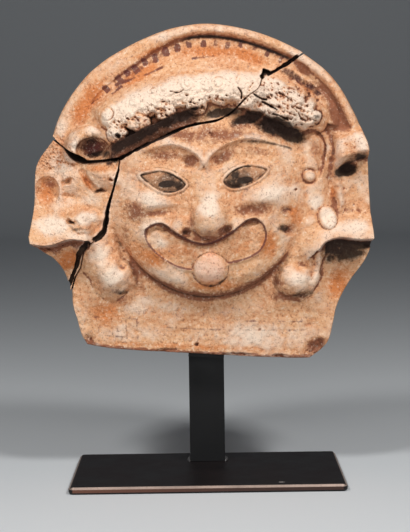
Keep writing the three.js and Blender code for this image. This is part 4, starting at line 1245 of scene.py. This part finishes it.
def slip_and_highlight_map(x, z, at, wide, ochre, stain_and_shade):
    """Cream by its spots, which are partly slip and partly painted highlight, more on what stands out as a
    painted highlight, and on the hair. Less where ochre, stains or painted shade lie, in what is hollow
    and under the hair, as painted shade, and on the hair's lower row."""
    slip_and_highlight = spots_map(x, z, slip_and_highlight_spots, 71) + 0.3 * np.clip(-wide / 0.9, -1, 1) + 0.55 * at["hair"]
    slip_and_highlight += 0.22 + 0.3 * rough(x, z, 9, 72, 3) + 0.25 * rough(x, z, 2.6, 79, 3)
    slip_and_highlight -= 0.9 * np.clip(wide / 1.4, 0, 1)
    slip_and_highlight -= 0.9 * np.clip(ochre, 0, 1) * (1 - at["split"]) + 0.9 * np.clip(stain_and_shade, 0, 1)
    slip_and_highlight -= 0.5 * bell(at["from_roll"] - 3, 3) * step(-40, -34, x)
    slip_and_highlight -= 1.2 * at["painted_hair_shade"]
    slip_and_highlight -= 0.35 * at["split"] * np.clip(rough(x, z, 3, 89, 3) + 0.4, 0, 1)
    return slip_and_highlight - at["low_row"] * (0.45 + 0.5 * rough(x, z, 2.2, 96, 3))


def shade_and_soot_map(x, z, at, wide, fine):
    """Near black in what is hollow, partly soot and partly painted shade, painted shadow at its spots, and
    painted shade under the hair, under the right ledge, in the groove under the roll, round the jaw and
    under the tongue."""
    in_hollows = 0.35 + 0.5 * at["hair"] * (1 - 0.75 * at["split"])
    shade_and_soot = in_hollows * step(0.25, 0.8, fine) + 0.7 * step(2.1, 3.8, wide)
    patchy = 0.8 + 0.45 * rough(x, z, 2.2, 87, 3)
    for middle, radii, turn, strength in shadow_and_soot_spots:
        spot = step(1.3, 0.4, reach_of(*at["ragged"], middle, radii, turn))
        shade_and_soot = np.maximum(shade_and_soot, strength * patchy * spot)
    up_hair = 0.3 + 0.5 * step(0.8, 3.4, at["from_break"]) + 0.3 * rough(x, z, 3, 88, 3)
    shade_and_soot = np.maximum(shade_and_soot, at["painted_hair_shade"] * up_hair)
    below = under_line(x, z, ledge_right)
    shade_and_soot += 0.9 * step(1.0, 2.0, below) * step(3.6, 2.6, below) * (x > 36)
    shade_and_soot += 0.75 * bell(at["from_roll"] - 0.15, 0.5) * step(-9, -3, x) * step(30, 22, x)
    shade_and_soot += 0.22 * at["under_jaw"]
    painted_tongue_shadow = bell(reach_of(x, z, TONGUE_MIDDLE, TONGUE_RADII) - 0.98, 0.11) * step(27, 23.6, z)
    return np.maximum(shade_and_soot, painted_tongue_shadow * (0.45 + 0.6 * rough(x, z, 1.4, 95, 3)))

# %% The painted eyes
def eye_layers(x, z):
    """Dark paint round the eyes and on the pupils, darkening towards the inner ends, the brown of the
    irises, and where the eyes are."""
    dark, brown, within = np.zeros(x.shape), np.zeros(x.shape), np.zeros(x.shape)
    worn_line, worn_end = 0.68 + 0.5 * rough(x, z, 1.6, 76, 2), 0.5 + 0.55 * rough(x, z, 1.8, 85, 3)
    for eye, eye_side, (iris, iris_radii, pupil, pupil_radii) in zip((eye_left, eye_right), (1, -1), irises):
        inside = inside_by(x, z, eye, 4)
        line = bell(inside - 0.45, 0.3) + 0.4 * bell(inside + 0.75, 0.25)
        dark_end = step(-7, 3, (x - iris[0]) * eye_side) * step(0.2, 1, inside)
        pupil_paint = 1.5 * pad(x, z, pupil, pupil_radii, 0.1, 3)
        dark = np.maximum.reduce([dark, worn_line * line, pupil_paint, worn_end * dark_end])
        iris_paint = 0.5 + 0.5 * pad(x, z, iris, iris_radii)
        brown = np.maximum(brown, step(0.2, 0.9, inside) * iris_paint)
        within += step(0.2, 0.8, inside)
    return dark, brown, within

# %% Violet paint
def tick_marks(x, z):
    """The painted ticks on the moulding: worn upright dashes that fan out from a centre."""
    marks, worn = np.zeros(x.shape), 0.4 * rough(x, z, 1.2, 93, 2)
    for count, tick in enumerate(ticks):
        turn = -math.atan2(tick[0], tick[1] - TICK_CENTRE)
        dx, dz = x - tick[0], z - tick[1]
        over = dx * math.cos(turn) + dz * math.sin(turn)
        up = dz * math.cos(turn) - dx * math.sin(turn)
        square = ((over / TICK_RADII[0]) ** 4 + (up / TICK_RADII[1]) ** 4) ** 0.25
        strength = (0.62 + 0.3 * step(2, -8, x)) * (0.95 + 0.25 * math.sin(2.3 * count))
        marks = np.maximum(marks, strength * step(1.25, 0.6, square + worn))
    return marks


def violet_map(x, z, from_roll):
    """Dark paint on the moulding, in the rings of the left curls, on the foot band, at its spots, on
    the lips and along the right ear, with painted shade beside the roll on the left and in the left
    bowl, and a painted shadow of the nose along the upper lip."""
    violet = lines_map(x, z, thin_lines, 0.7) * (0.6 + 0.6 * rough(x, z, 3, 77, 2))
    violet = np.maximum(violet, ridge(x, z, dark_band, 2.0) * (0.6 + 0.5 * rough(x, z, 2, 98, 3)))
    violet = np.maximum(violet, tick_marks(x, z))
    violet += 0.4 * bell(from_roll - 1.6, 1.3) * step(-2, -10, x) * step(-32, -24, x)
    violet += 0.4 * rings(x, z, faint_curls[:5]) * np.clip(0.5 + rough(x, z, 3.2, 47, 2), 0, 1)
    on_band = lines_map(x, z, band_lines, 0.7) * (0.4 + 0.2 * rough(x, z, 3, 99, 2))
    on_tongue = reach_of(x, z, TONGUE_MIDDLE, TONGUE_RADII) < 1.04
    lip_paint = 0.82 * bell(inside_by(x, z, mouth_line, 4) + 0.05, 0.36) * ~on_tongue
    lip_line_and_nose_shadow = 0.95 * ridge(x, z, upper_lip, 0.75) * step(-11, -7, x) * step(12, 8, x)
    ear_paint = 0.35 * bell(beside(x, z, ear_right, 2)[0], 0.4)
    face_paint = np.maximum(lip_paint, lip_line_and_nose_shadow) + ear_paint
    return np.maximum.reduce([violet, on_band, spots_map(x, z, violet_spots, 78), face_paint])

# %% All the layers
def layers(x, z, depth, wide, fine):
    """The maps at points x, z, from the spots and from the hollowness at two scales."""
    at = places(x, z, depth)
    ochre = spots_map(x, z, ochre_spots, 73) + 0.22 * rough(x, z, 12, 74, 3) + 0.1
    stain_and_shade = stain_and_shade_in_hollows(x, z, at, wide, fine)
    eye_dark, iris, in_eyes = eye_layers(x, z)
    brow_paint = 0.5 * ridge(x, z, brow_grey, 0.7) + 0.4 * ridge(x, z, dark_band, 1.9)
    # Painted shade in the cracks, the gouges and the hole beside the crown.
    in_cracks = step(0.4, 1.6, gouged(x, z))
    tongue = pad(x, z, TONGUE_MIDDLE, TONGUE_RADII) + 0.6 * swell(x, z, (1.4, 33), (4.6, 3))
    return {
        "slip_and_highlight": slip_and_highlight_map(x, z, at, wide, ochre, stain_and_shade) - 0.6 * in_eyes,
        "ochre": ochre, "stain_and_shade": stain_and_shade + stain_and_shade_at_edges(x, z, at),
        "violet": violet_map(x, z, at["from_roll"]),
        # The near black layer: painted shade and soot, with the dark paint of the eyes, under the right brow
        # and on the band.
        "shade_and_soot": np.maximum.reduce([shade_and_soot_map(x, z, at, wide, fine), eye_dark, brow_paint, in_cracks]),
        "pink": 0.5 * np.clip(tongue, 0, 1), "iris": iris,
    }

# %% The maps as attributes
def paint(body):
    """Work the layers out on the front grid, carry them onto the walls, where raw clay shows and the
    breaks get painted shade that darkens further back, and leave the rear plain."""
    piece, (x, z, depth), (bx, bz, border_depth, border_torn), rear_points = body
    wide, fine = hollowness(depth, 9), hollowness(depth, 2)
    maps = layers(x, z, depth, wide, fine)
    raw_front = np.clip(0.6 * brokenness(x, z), 0, 1).ravel()
    wall_shares = np.repeat(np.arange(1, WALL_ROWS + 1) / (WALL_ROWS + 1), len(bx))
    wall_torn = np.tile(border_torn, WALL_ROWS)
    wall_patches = np.tile(0.5 + 0.5 * rough(bx, bz, 7, 81), WALL_ROWS)
    # On the walls of the breaks, shade is painted: browner and near black further back.
    on_wall = {
        "slip_and_highlight": 0.25 * (1 - wall_torn) * wall_patches, "ochre": 0.4 * wall_patches,
        "stain_and_shade": 0.35 + 0.5 * wall_shares * wall_torn, "violet": 0 * wall_torn,
        "shade_and_soot": wall_torn * step(0.0, 0.25, wall_shares), "pink": 0 * wall_torn, "iris": 0 * wall_torn,
    }
    xr, zr = rear_points[:, 0], rear_points[:, 1]
    rear_patches = 0.5 + 0.5 * rough(xr, zr, 13, 82)
    on_rear = {
        "slip_and_highlight": 0.25 * rear_patches, "ochre": 0.5 * rear_patches, "stain_and_shade": 0.35 * (1 - rear_patches),
        "violet": 0 * xr, "shade_and_soot": 0 * xr, "pink": 0 * xr, "iris": 0 * xr,
    }
    maps_all = {name: np.concatenate([maps[name].ravel(), on_wall[name], on_rear[name]]) for name in maps}
    maps_all["raw"] = np.concatenate([raw_front, 0.4 + 0.6 * wall_torn, np.full(len(xr), 0.3)])
    for name, values in maps_all.items():
        attribute = piece.data.attributes.new(name, "FLOAT", "POINT")
        attribute.data.foreach_set("value", np.clip(values, 0, 1).astype(np.float32))
    shares = ", ".join(f"{name} {np.clip(grid, 0, 1).mean():.2f}" for name, grid in maps.items())
    print(f"{piece.name}: {shares}")


for body in clay.values():
    paint(body)

# %% [markdown]
# ## Writing materials as sums
#
# A material is a net of nodes. To keep it readable, a socket is wrapped in a small class, so that an
# expression such as 1 - mask * 0.5 adds its Math nodes by itself. Everything that isn't a number
# goes through one method, which takes a node's type, its settings and the values of its sockets.

# %% A socket that can be reckoned with
class Field:
    """A node's output, as something that can be added, multiplied and so on."""

    def __init__(self, finish, socket):
        self.finish = finish
        self.socket = socket

    def math(self, operation, *others, clamp=False):
        """A Math node of this socket and others."""
        settings = {"operation": operation, "use_clamp": clamp}
        return self.finish.node("ShaderNodeMath", settings, {k: v for k, v in enumerate((self, *others))})

    def __add__(self, other):
        return self.math("ADD", other)

    def __sub__(self, other):
        return self.math("SUBTRACT", other)

    def __rsub__(self, other):
        return self.math("MULTIPLY_ADD", -1, other)

    def __mul__(self, other):
        return self.math("MULTIPLY", other)

    __radd__, __rmul__ = __add__, __mul__

    def clamped(self):
        """The value cut off below 0 and above 1."""
        return self.math("ADD", 0, clamp=True)

    def smooth(self, low, high):
        """0 below low, 1 above high, smooth between them."""
        settings = {"interpolation_type": "SMOOTHSTEP"}
        return self.finish.node("ShaderNodeMapRange", settings, {0: self, 1: low, 2: high})


class Finish:
    """A material while its nodes are laid out."""

    def __init__(self, name):
        self.material = bpy.data.materials.new(name)
        self.material.use_nodes = True
        self.tree = self.material.node_tree
        self.shader = self.tree.nodes["Principled BSDF"]
        self.place = self.node("ShaderNodeTexCoord", {}, {}, "Object")

    def node(self, kind, settings, sockets, out=0):
        """Add a node, set it, fill or link its sockets, and give back one of its outputs."""
        node = self.tree.nodes.new(kind)
        for key, value in settings.items():
            setattr(node, key, value)
        self.fill(node, sockets)
        return Field(self, node.outputs[out])

    def fill(self, node, sockets):
        """Link each socket that is given a Field, and set the others to their values."""
        for key, value in sockets.items():
            if isinstance(value, Field):
                self.tree.links.new(value.socket, node.inputs[key])
            else:
                node.inputs[key].default_value = value

    def map(self, name):
        """A layer's map, read from the mesh."""
        return self.node("ShaderNodeAttribute", {"attribute_name": name}, {}, "Fac")

    def noise(self, size, detail=3.0, roughness=0.6, distortion=0.0):
        """Noise with cells of a size in metres, stretched to fill 0 to 1."""
        sockets = {"Vector": self.place, "Scale": 1 / size, "Detail": detail, "Roughness": roughness}
        raw = self.node("ShaderNodeTexNoise", {}, {**sockets, "Distortion": distortion})
        return (raw * 2.2 - 0.6).clamped()

    def blend(self, under, over, share, how="MIX"):
        """One colour over another by a share."""
        settings = {"data_type": "RGBA", "blend_type": how}
        return self.node("ShaderNodeMix", settings, {0: share, 6: under, 7: over}, 2)

    def finish(self, bump, strength, distance, **sockets):
        """Put the maps on the shader, with a height as bump."""
        normal = self.node("ShaderNodeBump", {}, {"Strength": strength, "Distance": distance, "Height": bump})
        named = {key.replace("_", " "): value for key, value in sockets.items()}
        self.fill(self.shader, {"Normal": normal, **named})
        return self.material


def colour(red, green, blue):
    """A linear colour from the values 0 to 255 that a screen shows."""
    parts = [v / 255 for v in (red, green, blue)]
    linear = [v / 12.92 if v <= 0.04045 else ((v + 0.055) / 1.055) ** 2.4 for v in parts]
    return (*linear, 1.0)


print("materials can now be written as sums")

# %% [markdown]
# ## Fired clay with slip, stain, paint and painted light
#
# The clay itself is mottled in three sizes: clouds of orange from the kiln, patches where the slip
# has thinned, and the grit of the paste. Each layer's map is broken up by noise before it is laid
# on, because old slip flakes and stains creep. The order: clay, stain from the ground with painted
# shade, slip with painted highlight, paint, then painted shade with some soot, and dirt in what is
# hollow. The surface stays matt.

# %% Terracotta
def broken_up(mask, grain, sharpness=3.0):
    """A map whose edge follows the grain: its half-way points are where map and grain are equal."""
    return ((mask * 1.3 - grain - 0.08) * sharpness + 0.5).clamped()


# Each layer has its map, how sharp its broken edge is (0 where it fades), its colour and its cover.
# The brown colour also paints shade, and the cream colour also paints highlight.
clay_layers = (
    ("raw", 0, (178, 118, 92), 0.4), ("ochre", 1.6, (200, 118, 62), 0.85),
    ("stain_and_shade", 1.8, (128, 72, 50), 0.85), ("slip_and_highlight", 1.15, (240, 223, 204), 0.72),
    ("pink", 1.5, (238, 172, 140), 0.7), ("iris", 0, (126, 92, 72), 0.8),
    ("violet", 2.0, (88, 42, 44), 0.85),
)


def terracotta():
    """Mottled paste, the layers over it one by one, then dirt in what is low, pale grit on what is
    high, and painted shade with soot."""
    clay_finish = Finish("terracotta")
    blend = clay_finish.blend
    clouds = clay_finish.noise(0.035, 3)
    patches = clay_finish.noise(0.009, 4, 0.65, 0.4)
    flakes = clay_finish.noise(0.0036, 4, 0.7, 0.3)
    grit = clay_finish.noise(0.0017, 3, 0.7)
    pores = clay_finish.noise(0.0009, 2, 0.6)
    grain = patches * 0.35 + flakes * 0.35 + grit * 0.3
    height = flakes * 0.3 + grit * 0.45 + pores * 0.25
    mottle = (clouds * 0.6 + patches * 0.5 - 0.15).clamped()
    paste = blend(colour(220, 168, 124), colour(196, 128, 86), mottle)
    paste = blend(paste, colour(234, 196, 160), (flakes * 1.2 - 0.45).clamped())
    masks = {}
    for name, sharpness, tone, cover in clay_layers:
        mask = clay_finish.map(name)
        masks[name] = broken_up(mask, grain, sharpness) if sharpness else mask
        paste = blend(paste, colour(*tone), masks[name] * cover)
    shade_and_soot = broken_up(clay_finish.map("shade_and_soot"), grain * 0.8, 1.6)
    dirt = 1 - height.smooth(0.24, 0.46)
    paste = blend(paste, colour(124, 76, 56), dirt * 0.6)
    pale = height.smooth(0.58, 0.8)
    paste = blend(paste, colour(244, 230, 212), pale * 0.4)
    # Near black over its map: painted shade, soot and the dark paint of the eyes.
    paste = blend(paste, colour(34, 27, 24), shade_and_soot * 0.92)
    bumps = height + masks["slip_and_highlight"] * 0.15 + masks["raw"] * grit * 0.6
    roughness = 0.92 - masks["slip_and_highlight"] * 0.12 - masks["pink"] * 0.1
    return clay_finish.finish(
        bumps, 0.85, 0.0007, Base_Color=paste, Roughness=roughness, Specular_IOR_Level=0.28,
    )


clay_material = terracotta()
for body in clay.values():
    body[0].data.materials.append(clay_material)
print("terracotta:", len(clay_material.node_tree.nodes), "nodes")

# %% [markdown]
# ## Blackened and patinated steel
#
# The post and its ledge are flat bar, painted matt black. The foot plate is browned and waxed: its
# top is nearly black with a brown cloud, its front edge shows copper-brown where hands wear it, and
# the bevel that runs round the top is rubbed bright. The bevel is found by distance from the plate's
# own faces, taken from its box, so the bright line follows the edge at any size.

# %% Steel
def blackened():
    """Matt black paint with faint clouds."""
    steel = Finish("blackened_steel")
    brushed = steel.noise(0.0016, 4, 0.65)
    clouds = steel.noise(0.02, 2)
    tone = steel.blend(colour(8, 8, 10), colour(13, 13, 14), clouds * 0.6 + brushed * 0.4)
    return steel.finish(
        brushed, 0.15, 0.0001, Base_Color=tone, Roughness=0.5 + 0.12 * clouds, Specular_IOR_Level=0.25,
    )


BEVEL = 0.0014
SCRATCH = (0.0510, -0.0455)


def patinated():
    """Brown-black wax on top, copper-brown sides that are lighter to the left, a rubbed bright bevel
    and one scratch, an ellipse with a ragged edge."""
    steel = Finish("patinated_steel")
    half_width, half_depth, top = plate_high.x, plate_high.y, plate_high.z
    apart = lambda out: steel.node("ShaderNodeSeparateXYZ", {}, {0: steel.place}, out)
    x, y, z = apart("X"), apart("Y"), apart("Z")
    from_sides = (half_width - x.math("ABSOLUTE")).math("MINIMUM", half_depth - y.math("ABSOLUTE"))
    clouds, brushed = steel.noise(0.03, 3), steel.noise(0.0022, 4, 0.65)
    fine = steel.noise(0.0008, 3)
    near_sides = 1 - from_sides.smooth(BEVEL * 0.95, BEVEL * 1.25)
    on_bevel = near_sides * z.smooth(top - BEVEL * 1.15, top - BEVEL * 0.85)
    worn = (on_bevel * (0.75 + 0.5 * brushed)).clamped()
    side = 1 - from_sides.smooth(0.00005, 0.0002)
    left = 1 - x.smooth(-half_width, half_width * 0.5)
    tone = steel.blend(colour(24, 20, 21), colour(34, 27, 27), clouds)
    tone = steel.blend(tone, colour(112, 72, 56), side * (0.25 + 0.6 * left))
    tone = steel.blend(tone, colour(196, 172, 158), worn * 0.8)
    scratch_x, scratch_y = (x - SCRATCH[0]) * 380, (y - SCRATCH[1]) * 900
    scratch = 1 - (scratch_x * scratch_x + scratch_y * scratch_y + fine * 0.8 - 0.4).smooth(0.4, 1.1)
    on_top = z.smooth(top - BEVEL * 0.2, top - BEVEL * 0.1)
    tone = steel.blend(tone, colour(206, 196, 190), scratch * on_top * 0.8)
    return steel.finish(
        brushed + fine * 0.5, 0.12, 0.0001, Base_Color=tone, Metallic=0.35 + 0.3 * worn,
        Roughness=0.4 + 0.14 * clouds - 0.08 * worn, Specular_IOR_Level=0.4,
    )


def weld_metal():
    """Bright metal with dark flecks."""
    metal = Finish("weld_metal")
    flecks = metal.noise(0.0009, 3)
    tone = metal.blend(colour(150, 148, 148), colour(60, 54, 52), flecks)
    return metal.finish(flecks, 0.4, 0.0003, Base_Color=tone, Roughness=0.35 + 0.2 * flecks, Metallic=0.7)


def dress(node, material):
    """Put a material on a node that comes from the frame."""
    thing = bpy.data.objects[node]
    for slot in thing.material_slots:
        slot.link = "OBJECT"
        slot.material = material


black_material, plate_material = blackened(), patinated()
dress("stand_post", black_material)
dress("stand_ledge", black_material)
dress("stand_foot_plate", plate_material)
print("steel on the post, the ledge and the plate")

# %% [markdown]
# ## The weld at the post's foot
#
# The post is welded to the plate from its two narrow sides, and the beads were left bright. A bead
# is a quarter round drawn along the joint. Its radius swells and shrinks with every ripple of the
# weld pool, and falls to nothing at both ends, so the surface closes by itself.

# %% Weld beads
BEAD_RADIUS, RIPPLES = 0.0021, 7
BEAD_LENGTH_STEPS, BEAD_ROUND_STEPS = 57, 9
BEAD_END = 0.0003                        # how far a bead stops before the post's corners


def bead(name, side):
    """A quarter round along the post's side: radius times the root of the sine of the share along
    it, times 1 plus a ripple."""
    shares, angles = np.linspace(0, 1, BEAD_LENGTH_STEPS), np.linspace(0, math.pi / 2, BEAD_ROUND_STEPS)
    share, angle = np.meshgrid(shares, angles, indexing="ij")
    ripple = 1 + 0.13 * np.abs(np.sin(RIPPLES * math.pi * share)) + 0.05 * np.sin(31 * share)
    radius = BEAD_RADIUS * np.sqrt(np.maximum(0, np.sin(math.pi * share))) * ripple
    depth = post_high.y - post_low.y
    x = side * (post_high.x + radius * np.cos(angle))
    y = post_low.y + BEAD_END + (depth - 2 * BEAD_END) * share
    z = plate_high.z + radius * np.sin(angle)
    corner_x, corner_z = np.full(len(shares), side * post_high.x), np.full(len(shares), plate_high.z)
    corner = np.stack([corner_x, y[:, 0], corner_z], axis=1)
    points = np.concatenate([np.stack([x, y, z], axis=2), corner[:, None]], axis=1)
    index = np.arange(points.shape[0] * points.shape[1]).reshape(points.shape[:2])
    across = np.roll(index, -1, axis=1)
    faces = np.stack([index[:-1], index[1:], across[1:], across[:-1]], axis=2).reshape(-1, 4)
    mesh = bpy.data.meshes.new(name)
    mesh.from_pydata(points.reshape(-1, 3).tolist(), [], (faces if side > 0 else faces[:, ::-1]).tolist())
    return mesh


def weld_beads():
    """Both beads as pieces of their own, which ride with the stand."""
    for name, side in (("weld_left", -1), ("weld_right", 1)):
        mesh = bead(name, side)
        mesh.shade_smooth()
        mesh.materials.append(weld_material)
        piece = bpy.data.objects.new(name, mesh)
        bpy.context.scene.collection.objects.link(piece)
        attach(piece, "root")


weld_material = weld_metal()
weld_beads()
print("weld beads at the foot of the post")

# %% [markdown]
# ## Camera
#
# The camera stands in front of the middle and a little above it, as close as the photographer did:
# a long lens, the view tilted down by five degrees and turned by less than one about its own axis.

# %% Camera
PHOTO_HEIGHT = 532
FOCAL_PIXELS = 1524
PITCH_PIXELS = 138                       # how far the horizon lies above the middle of the picture
SENSOR = 36
CAMERA_PLACE = (0, -1.086, 0.2506)
CAMERA_ROLL = math.radians(0.8)
camera_data = bpy.data.cameras.new("camera")
camera_data.sensor_width = SENSOR
camera_data.lens = FOCAL_PIXELS / PHOTO_HEIGHT * SENSOR
camera = bpy.data.objects.new("camera", camera_data)
pitch = math.atan(PITCH_PIXELS / FOCAL_PIXELS)
camera.matrix_world = (
    Matrix.Translation(CAMERA_PLACE)
    @ Matrix.Rotation(math.pi / 2 - pitch, 4, "X")
    @ Matrix.Rotation(-CAMERA_ROLL, 4, "Z")
)
bpy.context.scene.collection.objects.link(camera)
bpy.context.scene.camera = camera
print(f"lens {camera_data.lens:.0f} mm, tilted down by {math.degrees(pitch):.1f} degrees")

# %% [markdown]
# ## Floor and lights
#
# The floor is a pale sheet that sweeps up behind, so there is no horizon. Two small soft boxes stand
# above on the left and on the right, as for a photograph of sculpture: each throws a shadow down and
# inwards, and where both are cut off, under the hair and the ledges, it is dark. A broad fill from
# the front and a weak cool glow from all round keep the shadows open.

# %% Floor
SWEEP_FRONT, SWEEP_START, SWEEP_RADIUS, SWEEP_HEIGHT = -6, 2.4, 0.8, 3.2
SWEEP_HALF_WIDTH = 5
PAPER = (0.64, 0.66, 0.67, 1)


def sweep():
    """A flat floor, a quarter round and a wall, as one profile drawn sideways."""
    angle = np.linspace(0, math.pi / 2, 24)
    wall = SWEEP_START + SWEEP_RADIUS
    y = np.concatenate([[SWEEP_FRONT], SWEEP_START + SWEEP_RADIUS * np.sin(angle), [wall]])
    z = np.concatenate([[0], SWEEP_RADIUS * (1 - np.cos(angle)), [SWEEP_HEIGHT]])
    x = np.array([-SWEEP_HALF_WIDTH, SWEEP_HALF_WIDTH])
    points = np.stack(np.broadcast_arrays(x[:, None], y[None], z[None]), axis=2).reshape(-1, 3)
    index = np.arange(2 * len(y)).reshape(2, -1)
    faces = np.stack([index[0, :-1], index[1, :-1], index[1, 1:], index[0, 1:]], axis=1)
    mesh = bpy.data.meshes.new("floor")
    mesh.from_pydata(points.tolist(), [], faces.tolist())
    mesh.shade_smooth()
    return mesh


paper = Finish("paper")
floor_mesh = sweep()
paper_material = paper.finish(paper.noise(0.004), 0.05, 0.0002, Base_Color=PAPER, Roughness=0.9)
floor_mesh.materials.append(paper_material)
floor = bpy.data.objects.new("floor", floor_mesh)
bpy.context.scene.collection.objects.link(floor)
print(f"the floor sweeps up {SWEEP_START:.1f} m behind the piece")

# %% Lights
AIM = Vector((0, 0, 0.19))
GLOW, GLOW_STRENGTH = (0.85, 0.9, 1, 1), 0.06
# Name, degrees to the right, degrees up, distance and side in metres, and power in watts.
lights = (
    ("key_left", -36, 46, 1.1, 0.2, 5.9),
    ("key_right", 38, 46, 1.1, 0.2, 6.5),
    ("front_fill", 0, 12, 1.6, 0.9, 8.5),
)


def soft_box(name, azimuth, elevation, distance, size, power):
    """A square area light at an angle to the right of the camera and above, turned to the piece."""
    a, e = math.radians(azimuth), math.radians(elevation)
    way = Vector((math.sin(a) * math.cos(e), -math.cos(a) * math.cos(e), math.sin(e)))
    place = AIM + distance * way
    data = bpy.data.lights.new(name, "AREA")
    data.shape = "RECTANGLE"
    data.size, data.size_y = size, size
    data.energy = power
    light = bpy.data.objects.new(name, data)
    light.location = place
    light.rotation_euler = (AIM - place).to_track_quat("-Z", "Y").to_euler()
    bpy.context.scene.collection.objects.link(light)


for light_values in lights:
    soft_box(*light_values)
world = bpy.data.worlds.new("studio")
world.use_nodes = True
background = world.node_tree.nodes["Background"]
background.inputs["Color"].default_value = GLOW
background.inputs["Strength"].default_value = GLOW_STRENGTH
bpy.context.scene.world = world
bpy.context.scene.view_settings.view_transform = "Standard"
print(len(lights), "area lights and a weak glow")
